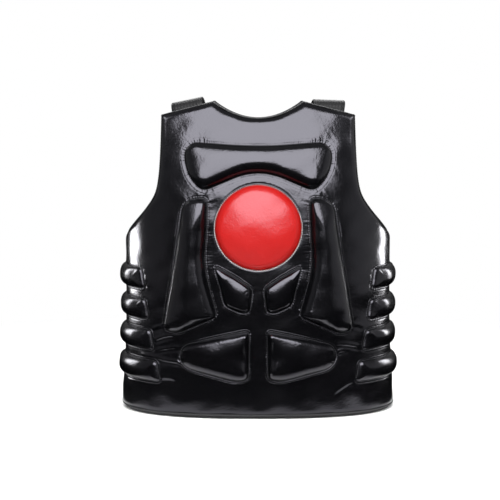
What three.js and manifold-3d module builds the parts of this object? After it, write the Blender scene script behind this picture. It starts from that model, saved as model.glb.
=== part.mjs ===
// A body protector for boxing training: a thick foam shell covered in black leather, wrapped round the
// front and flanks, with raised pads stitched on it, a red target disc, bound edges and webbing behind.
//
// Millimetres, +Z up, the hem on z = 0. The front faces -Y. Left and right are as seen from the front.
// Places on the shell are given as on a flat pattern: arc is the length round the torso from the front
// centre line, measured on the inner face, and height is the height above the hem.

import * as THREE from 'three';
import Module from 'manifold-3d';

const wasm = await Module();
wasm.setup();

// Driving dimensions

const SHELL_WALL = 26; // foam wall away from the edges
const EDGE_WALL = 9; // wall where the two leathers are sewn together
const EDGE_ROUND = 24; // width of the rounding between the two
const HEM_WALL = 19; // the hem is left thicker and squarer
const HEM_ROUND = 10;
const HEM_BASE = 4; // the shell's lower edge, above the binding it stands on
const SEAT_GAP = 0.3; // clearance between a piece and what it is sewn to
const SKIRT = 3; // depth to which a pad is made before its seat is cut

const NECK = { centre: 473, peak: 499, peakArc: 69, bend: 2 };
const SHOULDER = { arc: 152, height: 478 };
const TOP_BLEND = 300; // below this height the shell's rows are level

const SECTION_POWER = 2.5; // the torso's section is a rounded oval: 2 is an ellipse
const TORSO = [
  { height: 0, halfWidth: 200, front: -101, back: 123 },
  { height: 125, halfWidth: 192, front: -106, back: 123 },
  { height: 250, halfWidth: 191, front: -108, back: 121 },
  { height: 350, halfWidth: 190, front: -103, back: 119 },
  { height: 430, halfWidth: 189, front: -87, back: 117 },
  { height: 510, halfWidth: 186, front: -56, back: 115 },
];

// The shell's side edge: the rear of the wing, its rounded top corner, the armhole and the shoulder.
const SIDE_EDGE = [
  { height: 0, arc: 330 },
  { height: 150, arc: 331 },
  { height: 225, arc: 328 },
  { height: 258, arc: 308 },
  { height: 276, arc: 281 },
  { height: 289, arc: 250 },
  { height: 304, arc: 216 },
  { height: 318, arc: 195 },
  { height: 336, arc: 176 },
  { height: 356, arc: 162 },
  { height: 380, arc: 156 },
  { height: 421, arc: 153 },
  { height: 478, arc: 152 },
];

// Raised pads. A corner has its own rounding, and the spine is the line along the pad's ridge.
const PAD_STEPS = [0, 0.08, 0.38, 1]; // shares of a pad's rounding, from its seam inwards
const DISC = { height: 305, radius: 65, rise: 18, round: 13, crown: 5, sides: 32, steps: PAD_STEPS };
const CHEST_BAR = {
  rise: 15,
  round: 15,
  crown: 2,
  steps: PAD_STEPS,
  corners: [
    { arc: -84, height: 360, round: 14 },
    { arc: 0, height: 396, round: 70 },
    { arc: 84, height: 360, round: 14 },
    { arc: 105, height: 384, round: 16 },
    { arc: 112, height: 418, round: 16 },
    { arc: 99, height: 433, round: 9 },
    { arc: 0, height: 426, round: 70 },
    { arc: -99, height: 433, round: 9 },
    { arc: -112, height: 418, round: 16 },
    { arc: -105, height: 384, round: 16 },
  ],
  spine: [{ arc: -84, height: 404 }, { arc: 84, height: 404 }],
};
const FLANK_PAD = {
  rise: 18,
  round: 18,
  crown: 2,
  steps: PAD_STEPS,
  corners: [
    { arc: 62, height: 167, round: 8 },
    { arc: 122, height: 137, round: 12 },
    { arc: 142, height: 142, round: 10 },
    { arc: 118, height: 300, round: 80 },
    { arc: 112, height: 346, round: 18 },
    { arc: 76, height: 352, round: 14 },
    { arc: 78, height: 296, round: 40 },
    { arc: 82, height: 244, round: 40 },
  ],
  spine: [{ arc: 95, height: 325 }, { arc: 104, height: 168 }],
};
const UPPER_AB_PAD = {
  rise: 14,
  round: 14,
  crown: 1,
  steps: PAD_STEPS,
  corners: [
    { arc: 13, height: 174, round: 8 },
    { arc: 26, height: 172, round: 8 },
    { arc: 51, height: 184, round: 9 },
    { arc: 56, height: 208, round: 20 },
    { arc: 66, height: 247, round: 7 },
    { arc: 38, height: 232, round: 26 },
    { arc: 9, height: 211, round: 8 },
  ],
  spine: [{ arc: 26, height: 191 }, { arc: 50, height: 226 }],
};
const LOWER_AB_PAD = {
  rise: 17,
  round: 18,
  crown: 2,
  steps: PAD_STEPS,
  corners: [
    { arc: 15, height: 66, round: 9 },
    { arc: 34, height: 62, round: 12 },
    { arc: 108, height: 82, round: 10 },
    { arc: 119, height: 98, round: 10 },
    { arc: 113, height: 119, round: 11 },
    { arc: 60, height: 135, round: 40 },
    { arc: 14, height: 145, round: 9 },
  ],
  spine: [{ arc: 40, height: 103 }, { arc: 92, height: 105 }],
};

// The rolls round each flank, from the top one down.
const RIB_STEPS = [0, 0.1, 0.45];
const RIB = { rear: 268, rise: 10.5, round: 16, crown: 0, cornerRound: 13, spineInset: 17, steps: RIB_STEPS };
const RIB_SLANT = 3; // the front end of a roll lies this far forward at its foot and back at its head
const RIB_ROWS = [
  { front: 176, low: 205, high: 238 },
  { front: 170, low: 156, high: 189 },
  { front: 161, low: 107, high: 140 },
  { front: 151, low: 57, high: 90 },
];

// The tape over the shell's edges, 4 mm deep at the hem so that it lies on z = 0.
const BINDING = { overhang: 1.5, seat: 0.5, depth: HEM_BASE, shoulderDepth: 2.2, shoulder: 2 };

const BELT = { front: 282, low: 45, high: 145, thickness: 4, steps: 16, strapSeat: 12 };
const STRAP = {
  width: 50,
  thickness: 3,
  bow: 1.8, // room for the wall's curve across the strap's width
  arc: 114,
  anchorLow: 440,
  beltAcross: 70,
  endHeight: 62,
  steps: 26,
  slope: 0.12, // fall of the webbing over the shoulder, outwards across its width
  slopeStarts: 0.1, // shares of its run over which the slope comes in, holds and goes
  slopeHolds: 0.18,
  slopeEnds: 0.42,
};

// The free stretch of the right strap, over the shoulder and down the back.
const STRAP_RUN = [
  { across: 115, back: -42, height: 501 },
  { across: 113, back: -8, height: 502 },
  { across: 107, back: 55, height: 468 },
  { across: 98, back: 105, height: 385 },
  { across: 86, back: 134, height: 270 },
  { across: 75, back: 150, height: 180 },
];

// How finely the surfaces are divided
const SECTION_STEPS = 240;
const SHELL_COLUMNS = 13; // level stretch of half the shell, with a column on the neck's peak
const SHELL_ROWS = 14;
const EDGE_STEPS = [0, 0.14, 0.42, 1]; // shares of the edge rounding, from the edge inwards
const RIDGE_SHARE = 0.75; // share of the rest of the way to the spine where the flat cap starts
const LONGEST_EDGE = 30; // longest straight step of a pad's seam
const SHORTEST_EDGE = 0.5;
const CORNER_STEPS = 3;
const CORNER_SHARE = 0.48; // most of a side that a corner's rounding may take
const ROUND_SHARE = 0.92; // most of the way to the spine that a pad's rounding may take
const CROWN_SPREAD = 3; // the crown grows over this many widths of the rounding
const OUTLINE_STEPS = { side: 90, top: 30 };

const LEATHER_BLACK = { color: 0x0b0b0d, roughness: 0.24, metalness: 0 };
const LEATHER_RED = { color: 0xe23a35, roughness: 0.35, metalness: 0 };
const TAPE_BLACK = { color: 0x17171a, roughness: 0.6, metalness: 0 };
const WEBBING_BLACK = { color: 0x1b1b1e, roughness: 0.75, metalness: 0 };

// Tables and small sums

const lerp = THREE.MathUtils.lerp;
const clamp01 = (value) => THREE.MathUtils.clamp(value, 0, 1);
const smooth01 = (value) => THREE.MathUtils.smoothstep(value, 0, 1);

// A smooth curve through one column of a table, level with its ends outside them.
function tableAt(rows, key, column, at) {
  const last = rows.length - 1;
  const place = THREE.MathUtils.clamp(at, rows[0][key], rows[last][key]);
  let k = 0;
  while (k < last - 1 && rows[k + 1][key] < place) k += 1;
  const slope = (i) => {
    const before = rows[Math.max(i - 1, 0)];
    const after = rows[Math.min(i + 1, last)];
    return (after[column] - before[column]) / (after[key] - before[key]);
  };
  const span = rows[k + 1][key] - rows[k][key];
  const t = (place - rows[k][key]) / span;
  const rise = t * t * (3 - 2 * t);
  const lead = t * (1 - t) * (1 - t) * span * slope(k);
  const tail = t * t * (1 - t) * span * slope(k + 1);
  return lerp(rows[k][column], rows[k + 1][column], rise) + lead - tail;
}

// A quarter circle's rise over a share of its width.
const roundedRise = (share) => Math.sqrt(1 - (1 - clamp01(share)) ** 2);

// The torso surface

const sectionCache = new Map();

// Half of the level section at one height, from the front centre line to the back one.
function sectionAt(height) {
  if (sectionCache.has(height)) return sectionCache.get(height);
  const halfWidth = tableAt(TORSO, 'height', 'halfWidth', height);
  const front = tableAt(TORSO, 'height', 'front', height);
  const back = tableAt(TORSO, 'height', 'back', height);
  const middle = (front + back) / 2;
  const halfDepth = (back - front) / 2;
  const power = 2 / SECTION_POWER;
  const points = [];
  for (let i = 0; i <= SECTION_STEPS; i += 1) {
    const turn = (Math.PI * i) / SECTION_STEPS;
    const along = Math.cos(turn);
    const x = halfWidth * Math.abs(Math.sin(turn)) ** power;
    const y = middle - halfDepth * Math.sign(along) * Math.abs(along) ** power;
    const before = points[i - 1];
    const arc = before ? before.arc + Math.hypot(x - before.x, y - before.y) : 0;
    points.push({ x, y, arc });
  }
  sectionCache.set(height, points);
  return points;
}

const halfGirth = (height) => sectionAt(height)[SECTION_STEPS].arc;

// The inner face of the shell, where the wearer's body is.
function torsoPoint(arc, height) {
  const points = sectionAt(height);
  const place = Math.min(Math.abs(arc), points[SECTION_STEPS].arc);
  let low = 0;
  let high = SECTION_STEPS;
  while (high - low > 1) {
    const mid = (low + high) >> 1;
    if (points[mid].arc <= place) low = mid;
    else high = mid;
  }
  const t = (place - points[low].arc) / (points[high].arc - points[low].arc);
  const x = lerp(points[low].x, points[high].x, t);
  const y = lerp(points[low].y, points[high].y, t);
  return new THREE.Vector3(Math.sign(arc) * x, y, height);
}

function torsoAcross(arc, height) {
  return torsoPoint(arc + 1, height).sub(torsoPoint(arc - 1, height)).normalize();
}

// The direction through the wall, outwards. At the hem the wall stands plumb.
function torsoNormal(arc, height) {
  const upwards = torsoPoint(arc, height + 1).sub(torsoPoint(arc, height - 1));
  const outwards = torsoAcross(arc, height).cross(upwards).normalize();
  outwards.z *= smooth01((height - HEM_BASE) / EDGE_ROUND);
  return outwards.normalize();
}

function torsoOffset(arc, height, offset) {
  return torsoPoint(arc, height).addScaledVector(torsoNormal(arc, height), offset);
}

// The shell's flat pattern

const sideArc = (height) => tableAt(SIDE_EDGE, 'height', 'arc', height);

function topHeight(arc) {
  const place = Math.abs(arc);
  if (place <= NECK.peakArc) {
    return NECK.centre + (NECK.peak - NECK.centre) * (place / NECK.peakArc) ** NECK.bend;
  }
  return lerp(NECK.peak, SHOULDER.height, (place - NECK.peakArc) / (SHOULDER.arc - NECK.peakArc));
}

// The right half of the pattern's outline above the hem, from the hem's corner to the neck's centre.
function halfOutline() {
  const points = [];
  for (let i = 0; i <= OUTLINE_STEPS.side; i += 1) {
    const height = lerp(HEM_BASE, SHOULDER.height, i / OUTLINE_STEPS.side);
    points.push(new THREE.Vector2(sideArc(height), height));
  }
  for (let i = 1; i <= OUTLINE_STEPS.top; i += 1) {
    const arc = lerp(SHOULDER.arc, 0, i / OUTLINE_STEPS.top);
    points.push(new THREE.Vector2(arc, topHeight(arc)));
  }
  return points;
}

const OUTLINE = halfOutline();

function distanceToSegment(point, from, to) {
  const along = to.clone().sub(from);
  const t = clamp01(point.clone().sub(from).dot(along) / along.lengthSq());
  return point.distanceTo(from.clone().addScaledVector(along, t));
}

function edgeDistance(arc, height) {
  const point = new THREE.Vector2(Math.abs(arc), height);
  let least = Infinity;
  for (let i = 1; i < OUTLINE.length; i += 1) {
    least = Math.min(least, distanceToSegment(point, OUTLINE[i - 1], OUTLINE[i]));
  }
  return least;
}

// The wall's thickness at a place on the pattern, thin along every edge.
function wallAt(arc, height) {
  const nearEdge = lerp(EDGE_WALL, SHELL_WALL, roundedRise(edgeDistance(arc, height) / EDGE_ROUND));
  const nearHem = lerp(HEM_WALL, SHELL_WALL, roundedRise((height - HEM_BASE) / HEM_ROUND));
  return Math.min(nearEdge, nearHem);
}

// Solids from vertices and triangles

class SolidMaker {
  constructor() {
    this.points = [];
    this.triangles = [];
  }

  add(point) {
    this.points.push(point);
    return this.points.length - 1;
  }

  // A patch of four corners, split along its shorter diagonal, or along the first one if they are alike.
  quad(a, b, c, d) {
    const first = this.points[a].distanceTo(this.points[c]);
    const second = this.points[b].distanceTo(this.points[d]);
    if (first <= second + SHORTEST_EDGE) this.triangles.push([a, b, c], [a, c, d]);
    else this.triangles.push([b, c, d], [b, d, a]);
  }

  // A strip between two closed rings of equal length.
  ring(lower, upper) {
    for (let i = 0; i < lower.length; i += 1) {
      const next = (i + 1) % lower.length;
      this.quad(lower[i], lower[next], upper[next], upper[i]);
    }
  }

  // The closed solid, or with a side of -1 its mirror image across the front centre line.
  solid(side = 1) {
    const places = this.points.flatMap(({ x, y, z }) => [side * x, y, z]);
    const corners = this.triangles.flatMap(([a, b, c]) => (side < 0 ? [a, c, b] : [a, b, c]));
    const mesh = new wasm.Mesh({
      numProp: 3,
      vertProperties: new Float32Array(places),
      triVerts: new Uint32Array(corners),
    });
    return new wasm.Manifold(mesh);
  }
}

function geometryOf(solid) {
  const mesh = solid.getMesh();
  const geometry = new THREE.BufferGeometry();
  geometry.setAttribute('position', new THREE.BufferAttribute(mesh.vertProperties, mesh.numProp));
  geometry.setIndex(new THREE.BufferAttribute(mesh.triVerts, 1));
  return geometry;
}

// A solid with the same section all along: a list of stations, each a list of points round the section.
function sweptSolid(stations, side) {
  const maker = new SolidMaker();
  const rings = stations.map((station) => station.map((point) => maker.add(point)));
  for (let i = 1; i < rings.length; i += 1) maker.ring(rings[i - 1], rings[i]);
  const first = rings[0];
  const last = rings[rings.length - 1];
  for (let i = 1; i < first.length - 1; i += 1) {
    maker.triangles.push([first[0], first[i + 1], first[i]], [last[0], last[i], last[i + 1]]);
  }
  return maker.solid(side);
}

// Shell

// Heights at equal steps along the side edge, so that the rows crowd where it turns in to the armhole.
function evenEdgeHeights(low, high, count) {
  const heights = [];
  const lengths = [];
  for (let height = low; height <= high; height += 1) {
    const turn = lengths.length ? Math.hypot(1, sideArc(height) - sideArc(height - 1)) : 0;
    lengths.push(turn + (lengths[lengths.length - 1] ?? 0));
    heights.push(height);
  }
  const total = lengths[lengths.length - 1];
  const steps = Array.from({ length: count - 1 }, (_, i) => ((i + 1) * total) / count);
  return steps.map((step) => heights[lengths.findIndex((length) => length >= step)]);
}

// Rows along the side edge, with the rounding's own rows at the hem and at the shoulder.
function shellRowHeights() {
  const low = EDGE_STEPS.map((share) => HEM_BASE + share * HEM_ROUND);
  const high = EDGE_STEPS.map((share) => SHOULDER.height - share * EDGE_ROUND).reverse();
  return [...low, ...evenEdgeHeights(low[low.length - 1], high[0], SHELL_ROWS), ...high];
}

// Columns from the left edge to the right one at one height of the side edge. The columns next to the
// edge run along it, so where it slants they spread.
function shellColumnArcs(height) {
  const reach = sideArc(height);
  const slant = (sideArc(height + EDGE_ROUND / 2) - sideArc(height - EDGE_ROUND / 2)) / EDGE_ROUND;
  const spread = EDGE_ROUND * Math.hypot(1, slant);
  const near = EDGE_STEPS.map((share) => reach - share * spread).reverse();
  const half = [];
  for (let i = 1; i < SHELL_COLUMNS; i += 1) half.push((near[0] * i) / SHELL_COLUMNS);
  const right = [...half, ...near];
  return [...right.map((arc) => -arc).reverse(), 0, ...right];
}

const SHELL_GRID = shellRowHeights().map((edgeHeight) => {
  const lift = smooth01((edgeHeight - TOP_BLEND) / (SHOULDER.height - TOP_BLEND));
  return shellColumnArcs(edgeHeight).map((arc) => {
    const height = edgeHeight + lift * (topHeight(arc) - SHOULDER.height);
    return { arc, height };
  });
});

// The shell as a closed wall. A positive growth gives the same wall with that clearance all round it.
function shellSolid(growth) {
  const maker = new SolidMaker();
  const lastRow = SHELL_GRID.length - 1;
  const lastColumn = SHELL_GRID[0].length - 1;
  const beyond = (i, last) => growth * ((i === last) - (i === 0));
  const face = (offsetAt) =>
    SHELL_GRID.map((row, j) =>
      row.map(({ arc, height }, i) => {
        const point = torsoOffset(arc + beyond(i, lastColumn), height, offsetAt(arc, height));
        point.z += beyond(j, lastRow);
        return maker.add(point);
      }),
    );
  const outer = face((arc, height) => wallAt(arc, height) + growth);
  const inner = face(() => -growth);
  for (let j = 0; j < lastRow; j += 1) {
    for (let i = 0; i < lastColumn; i += 1) {
      const [a, b] = [i, i + 1];
      const patch = [outer[j][a], outer[j][b], outer[j + 1][b], outer[j + 1][a]];
      const lining = [inner[j][b], inner[j][a], inner[j + 1][a], inner[j + 1][b]];
      if (2 * i < lastColumn) {
        maker.quad(...patch);
        maker.quad(...lining);
      } else {
        maker.quad(...patch.slice(1), patch[0]);
        maker.quad(...lining.slice(1), lining[0]);
      }
    }
    const end = lastColumn;
    maker.quad(inner[j][0], outer[j][0], outer[j + 1][0], inner[j + 1][0]);
    maker.quad(inner[j][end], inner[j + 1][end], outer[j + 1][end], outer[j][end]);
  }
  for (let i = 0; i < lastColumn; i += 1) {
    maker.quad(inner[0][i], inner[0][i + 1], outer[0][i + 1], outer[0][i]);
    maker.quad(outer[lastRow][i], outer[lastRow][i + 1], inner[lastRow][i + 1], inner[lastRow][i]);
  }
  return maker.solid();
}

const shell = shellSolid(0);
const shellClearance = shellSolid(SEAT_GAP);

// Raised pads

// The seam round a pad: straight or bowed sides between rounded corners, as points on the pattern.
function seamOf(corners) {
  const count = corners.length;
  const place = (i) => {
    const corner = corners[(i + count) % count];
    return new THREE.Vector2(corner.arc, corner.height);
  };
  const path = new THREE.Path();
  corners.forEach((corner, i) => {
    const here = place(i);
    const towards = (other) => {
      const side = other.clone().sub(here);
      const run = Math.min(corner.round, side.length() * CORNER_SHARE);
      return here.clone().addScaledVector(side.normalize(), run);
    };
    const enter = towards(place(i - 1));
    const leave = towards(place(i + 1));
    if (i === 0) path.moveTo(enter.x, enter.y);
    else path.lineTo(enter.x, enter.y);
    path.quadraticCurveTo(here.x, here.y, leave.x, leave.y);
  });
  path.closePath();
  const points = [];
  for (const curve of path.curves) {
    const steps = curve.isQuadraticBezierCurve ? CORNER_STEPS : Math.ceil(curve.getLength() / LONGEST_EDGE);
    for (let i = 0; i < steps; i += 1) points.push(curve.getPoint(i / steps));
  }
  return points.filter((point, i) => point.distanceTo(points[(i + 1) % points.length]) > SHORTEST_EDGE);
}

function nearestOnSpine(point, spine) {
  const [from, to] = spine.map(({ arc, height }) => new THREE.Vector2(arc, height));
  const along = to.clone().sub(from);
  if (along.lengthSq() === 0) return from;
  const t = clamp01(point.clone().sub(from).dot(along) / along.lengthSq());
  return from.addScaledVector(along, t);
}

// A stuffed pad on the shell: it rises from its seam in a quarter round and crowns towards its spine.
function padSolid(seam, { spine, rise, round, crown, steps }, side) {
  const targets = seam.map((point) => nearestOnSpine(point, spine));
  const depths = seam.map((point, i) => point.distanceTo(targets[i]));
  const reach = Math.min(...depths);
  const widest = Math.min(round, reach * ROUND_SHARE);
  const insets = steps.map((share) => () => share * widest);
  insets.push((depth) => lerp(widest, depth, RIDGE_SHARE));
  const maker = new SolidMaker();
  const ringAt = (insetOf, offsetOf) =>
    seam.map((point, i) => {
      const inset = Math.min(insetOf(depths[i]), depths[i]);
      const { x: arc, y: height } = point.clone().lerp(targets[i], inset / depths[i]);
      return maker.add(torsoOffset(arc, height, wallAt(arc, height) + offsetOf(inset)));
    });
  const bulge = (inset) =>
    rise * roundedRise(inset / widest) + crown * roundedRise(inset / (CROWN_SPREAD * widest));
  const outer = insets.map((insetOf) => ringAt(insetOf, bulge));
  const capInset = insets[insets.length - 1];
  const inner = [insets[0], capInset].map((insetOf) => ringAt(insetOf, () => -SKIRT));
  maker.ring(inner[0], outer[0]);
  for (let k = 1; k < outer.length; k += 1) maker.ring(outer[k - 1], outer[k]);
  maker.ring(inner[1], inner[0]);
  const cap = seam.map((point, i) => point.clone().lerp(targets[i], capInset(depths[i]) / depths[i]));
  for (const [a, b, c] of THREE.ShapeUtils.triangulateShape(cap, [])) {
    const top = outer[outer.length - 1];
    const bottom = inner[1];
    maker.triangles.push([top[a], top[b], top[c]], [bottom[a], bottom[c], bottom[b]]);
  }
  return maker.solid(side).subtract(shellClearance);
}

const cornerPad = (pad, side) => padSolid(seamOf(pad.corners), pad, side);

function discPad() {
  const seam = [];
  for (let i = 0; i < DISC.sides; i += 1) {
    const turn = (2 * Math.PI * i) / DISC.sides;
    seam.push(new THREE.Vector2(DISC.radius * Math.cos(turn), DISC.height + DISC.radius * Math.sin(turn)));
  }
  const centre = { arc: 0, height: DISC.height };
  return padSolid(seam, { ...DISC, spine: [centre, centre] }, 1);
}

function ribPad({ front, low, high }, side) {
  const round = RIB.cornerRound;
  const middle = (low + high) / 2;
  const rib = {
    ...RIB,
    corners: [
      { arc: front - RIB_SLANT, height: low, round },
      { arc: RIB.rear, height: low, round },
      { arc: RIB.rear, height: high, round },
      { arc: front + RIB_SLANT, height: high, round },
    ],
    spine: [
      { arc: front + RIB.spineInset, height: middle },
      { arc: RIB.rear - RIB.spineInset, height: middle },
    ],
  };
  return cornerPad(rib, side);
}

// Bound edges

// The tape along a run of the shell's edge. Each place gives the edge and a point just inside it.
function bindingSolid(places, side) {
  const roots = places.map(({ arc, height }) => torsoPoint(arc, height));
  const stations = places.map(({ arc, height, insideArc, insideHeight }, i) => {
    const root = roots[i];
    const outwards = torsoNormal(arc, height);
    const before = roots[Math.max(i - 1, 0)];
    const after = roots[Math.min(i + 1, roots.length - 1)];
    const along = after.clone().sub(before).normalize();
    const beyond = along.clone().cross(outwards).normalize();
    const inwards = torsoPoint(insideArc, insideHeight).sub(root);
    if (beyond.dot(inwards) > 0) beyond.negate();
    const at = (out, past) => root.clone().addScaledVector(outwards, out).addScaledVector(beyond, past);
    const { overhang, seat, depth, shoulder, shoulderDepth } = BINDING;
    const outside = wallAt(arc, height) + overhang;
    const section = [
      at(0, seat),
      at(outside, seat),
      at(outside, shoulderDepth),
      at(outside - shoulder, depth),
      at(shoulder, depth),
      at(0, shoulderDepth),
    ];
    const clockwise = along.dot(outwards.clone().cross(beyond)) > 0;
    return clockwise ? section : section.reverse();
  });
  return sweptSolid(stations, side).subtract(shellClearance);
}

const FIRST_ROW = SHELL_GRID[0];
const LAST_ROW = SHELL_GRID[SHELL_GRID.length - 1];

function rowBinding(row, towards) {
  const places = row.map(({ arc, height }) => {
    return { arc, height, insideArc: arc, insideHeight: height + towards };
  });
  return bindingSolid(places, 1);
}

function sideBinding(side) {
  const places = SHELL_GRID.map((row) => {
    const { arc, height } = row[row.length - 1];
    return { arc, height, insideArc: arc - EDGE_ROUND, insideHeight: height };
  });
  return bindingSolid(places, side);
}

// Belt and straps behind

// The belt from the outer face of one wing round the back to the other, at a clearance from its own faces.
function beltSolid(growth) {
  const near = SHELL_WALL + SEAT_GAP - growth;
  const far = SHELL_WALL + SEAT_GAP + BELT.thickness + growth;
  const stations = [];
  for (let i = -BELT.steps; i <= BELT.steps; i += 1) {
    const share = 1 - Math.abs(i) / BELT.steps;
    const side = i <= 0 ? 1 : -1;
    const at = (height, offset) => {
      const arc = side * lerp(BELT.front, halfGirth(height), share);
      const point = torsoOffset(arc, height, offset);
      if (i === 0) point.set(0, torsoPoint(halfGirth(height), height).y + offset, height);
      return point;
    };
    stations.push([at(BELT.low, near), at(BELT.high, near), at(BELT.high, far), at(BELT.low, far)]);
  }
  return sweptSolid(stations, 1);
}

// Webbing from the shell's inner face, over the shoulder and down the back to the belt's outer face.
function strapSolid(side) {
  const half = STRAP.thickness / 2;
  const inset = -(SEAT_GAP + half + STRAP.bow);
  const edge = topHeight(STRAP.arc);
  const frontHeights = [STRAP.anchorLow, lerp(STRAP.anchorLow, edge, 0.5), edge];
  const frontSeat = frontHeights.map((height) => torsoOffset(STRAP.arc, height, inset));
  const beltOffset = SHELL_WALL + BELT.thickness + 2 * SEAT_GAP + half;
  const beltArc = (height) => halfGirth(height) - STRAP.beltAcross;
  const backHeights = [BELT.high - BELT.strapSeat, lerp(BELT.high, STRAP.endHeight, 0.5), STRAP.endHeight];
  const backSeat = backHeights.map((height) => torsoOffset(beltArc(height), height, beltOffset));
  const run = STRAP_RUN.map(({ across, back, height }) => new THREE.Vector3(across, back, height));
  const curve = new THREE.CatmullRomCurve3([...frontSeat, ...run, ...backSeat], false, 'centripetal');
  const frontAcross = torsoAcross(STRAP.arc, edge);
  const backAcross = torsoAcross(beltArc(BELT.high), BELT.high).negate();
  const stations = [];
  for (let i = 0; i <= STRAP.steps; i += 1) {
    const share = i / STRAP.steps;
    const middle = curve.getPointAt(share);
    const along = curve.getTangentAt(share);
    const across = frontAcross.clone().lerp(backAcross, smooth01(share));
    const leaving = (share - STRAP.slopeHolds) / (STRAP.slopeEnds - STRAP.slopeHolds);
    across.z -= STRAP.slope * smooth01(share / STRAP.slopeStarts) * (1 - smooth01(leaving));
    across.normalize();
    const outwards = across.clone().cross(along).normalize();
    const corner = (sideways, out) => {
      const edgePoint = middle.clone().addScaledVector(across, (sideways * STRAP.width) / 2);
      return edgePoint.addScaledVector(outwards, out * half);
    };
    stations.push([corner(-1, -1), corner(-1, 1), corner(1, 1), corner(1, -1)]);
  }
  return sweptSolid(stations, side).subtract(shellClearance).subtract(beltSolid(SEAT_GAP));
}

// The assembly

const protector = new THREE.Group();

function addPiece(name, solid, finish) {
  const mesh = new THREE.Mesh(geometryOf(solid), new THREE.MeshStandardMaterial(finish));
  mesh.name = name;
  protector.add(mesh);
}

addPiece('shell', shell, LEATHER_BLACK);
addPiece('hem_binding', rowBinding(FIRST_ROW, EDGE_ROUND), TAPE_BLACK);
addPiece('neck_binding', rowBinding(LAST_ROW, -EDGE_ROUND), TAPE_BLACK);
addPiece('chest_bar', cornerPad(CHEST_BAR, 1), LEATHER_BLACK);
addPiece('target_disc', discPad(), LEATHER_RED);
addPiece('back_belt', beltSolid(0).subtract(shellClearance), WEBBING_BLACK);

for (const [word, side] of [['left', -1], ['right', 1]]) {
  addPiece(`armhole_binding_${word}`, sideBinding(side), TAPE_BLACK);
  addPiece(`flank_pad_${word}`, cornerPad(FLANK_PAD, side), LEATHER_BLACK);
  addPiece(`upper_ab_pad_${word}`, cornerPad(UPPER_AB_PAD, side), LEATHER_BLACK);
  addPiece(`lower_ab_pad_${word}`, cornerPad(LOWER_AB_PAD, side), LEATHER_BLACK);
  addPiece(`shoulder_strap_${word}`, strapSolid(side), WEBBING_BLACK);
  RIB_ROWS.forEach((row, i) => addPiece(`rib_pad_${word}_${i + 1}`, ribPad(row, side), LEATHER_BLACK));
}

export default protector;
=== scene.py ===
# %% [markdown]
# # A body protector in black leather
# A boxing coach wears this thick padded shell while a partner practises body shots on it. It stands here
# empty, on its hem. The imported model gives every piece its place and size, and this lesson dresses each
# piece as the sewn leather, tape or webbing that it is on the real object.

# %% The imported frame
import math

import bmesh
import bpy
import numpy as np
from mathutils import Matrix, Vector


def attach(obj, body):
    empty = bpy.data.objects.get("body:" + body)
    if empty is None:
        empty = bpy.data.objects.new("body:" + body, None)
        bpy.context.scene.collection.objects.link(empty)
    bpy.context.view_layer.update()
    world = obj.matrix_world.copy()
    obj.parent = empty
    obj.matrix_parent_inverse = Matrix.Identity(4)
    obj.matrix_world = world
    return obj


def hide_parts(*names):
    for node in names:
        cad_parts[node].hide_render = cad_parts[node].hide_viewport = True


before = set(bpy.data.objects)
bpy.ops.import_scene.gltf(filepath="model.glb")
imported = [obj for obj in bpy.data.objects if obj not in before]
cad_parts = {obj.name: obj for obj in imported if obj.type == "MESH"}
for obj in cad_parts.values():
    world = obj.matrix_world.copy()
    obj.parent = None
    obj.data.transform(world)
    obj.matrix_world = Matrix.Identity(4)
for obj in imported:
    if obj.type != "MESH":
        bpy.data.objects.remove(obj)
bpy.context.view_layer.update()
MM = 0.001  # the tables below are in millimetres, and Blender works in metres

# %% [markdown]
# ## The camera
# The photograph was taken from straight in front and a little above, with a long lens from some way back.
# A camera is a place, a direction and an angle of view, so those are the named values. It comes first
# because every later choice is judged through it.

# %% The photograph's camera
AIM = Vector((-0.013, -0.130, 0.272))
CAMERA_RISE = math.radians(6)
CAMERA_AWAY = 2.6
VIEW_ANGLE = math.radians(17.17)


def in_scene(name, data):
    thing = bpy.data.objects.new(name, data)
    bpy.context.scene.collection.objects.link(thing)
    return thing


camera_data = bpy.data.cameras.new("photo_camera")
camera_data.sensor_fit = "HORIZONTAL"
camera_data.angle = VIEW_ANGLE
camera = in_scene("photo_camera", camera_data)
camera.location = AIM + CAMERA_AWAY * Vector((0, -math.cos(CAMERA_RISE), math.sin(CAMERA_RISE)))
camera.rotation_euler = (math.pi / 2 - CAMERA_RISE, 0, 0)
bpy.context.scene.camera = camera
print("camera at", tuple(round(x, 3) for x in camera.location))

# %% [markdown]
# ## The torso surface
# Everything is sewn to one curved wall that fits a chest. A maker cuts it flat, so a place on it is given
# as on the flat pattern: an arc from the front centre line and a height. Level sections of the chest are
# rounded rectangles whose width and depth change slowly with height. The sections are worked out once,
# put in a table at even steps of arc and height, and read back with smooth cubic steps, because a glossy
# leather shows every small kink.

# %% Smooth curves through short tables
def smooth01(x):
    x = np.clip(x, 0, 1)
    return x * x * (3 - 2 * x)


def rounded_rise(share):
    """A quarter circle's rise over a share of its width."""
    return np.sqrt(1 - (1 - np.clip(share, 0, 1)) ** 2)


def table_curve(rows, column, at):
    """A smooth curve through one column of a table whose first column is the place."""
    rows = np.asarray(rows, float)
    keys, values = rows[:, 0], rows[:, column]
    slopes = np.gradient(values, keys)
    slopes[1:-1] = (values[2:] - values[:-2]) / (keys[2:] - keys[:-2])
    place = np.clip(np.asarray(at, float), keys[0], keys[-1])
    k = np.clip(np.searchsorted(keys, place) - 1, 0, len(keys) - 2)
    span = keys[k + 1] - keys[k]
    t = (place - keys[k]) / span
    rise = t * t * (3 - 2 * t)
    lead = t * (1 - t) ** 2 * span * slopes[k]
    tail = t * t * (1 - t) * span * slopes[k + 1]
    return values[k] + (values[k + 1] - values[k]) * rise + lead - tail


print("a quarter round is at", round(float(rounded_rise(0.5)), 3), "of its height halfway in")

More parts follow.
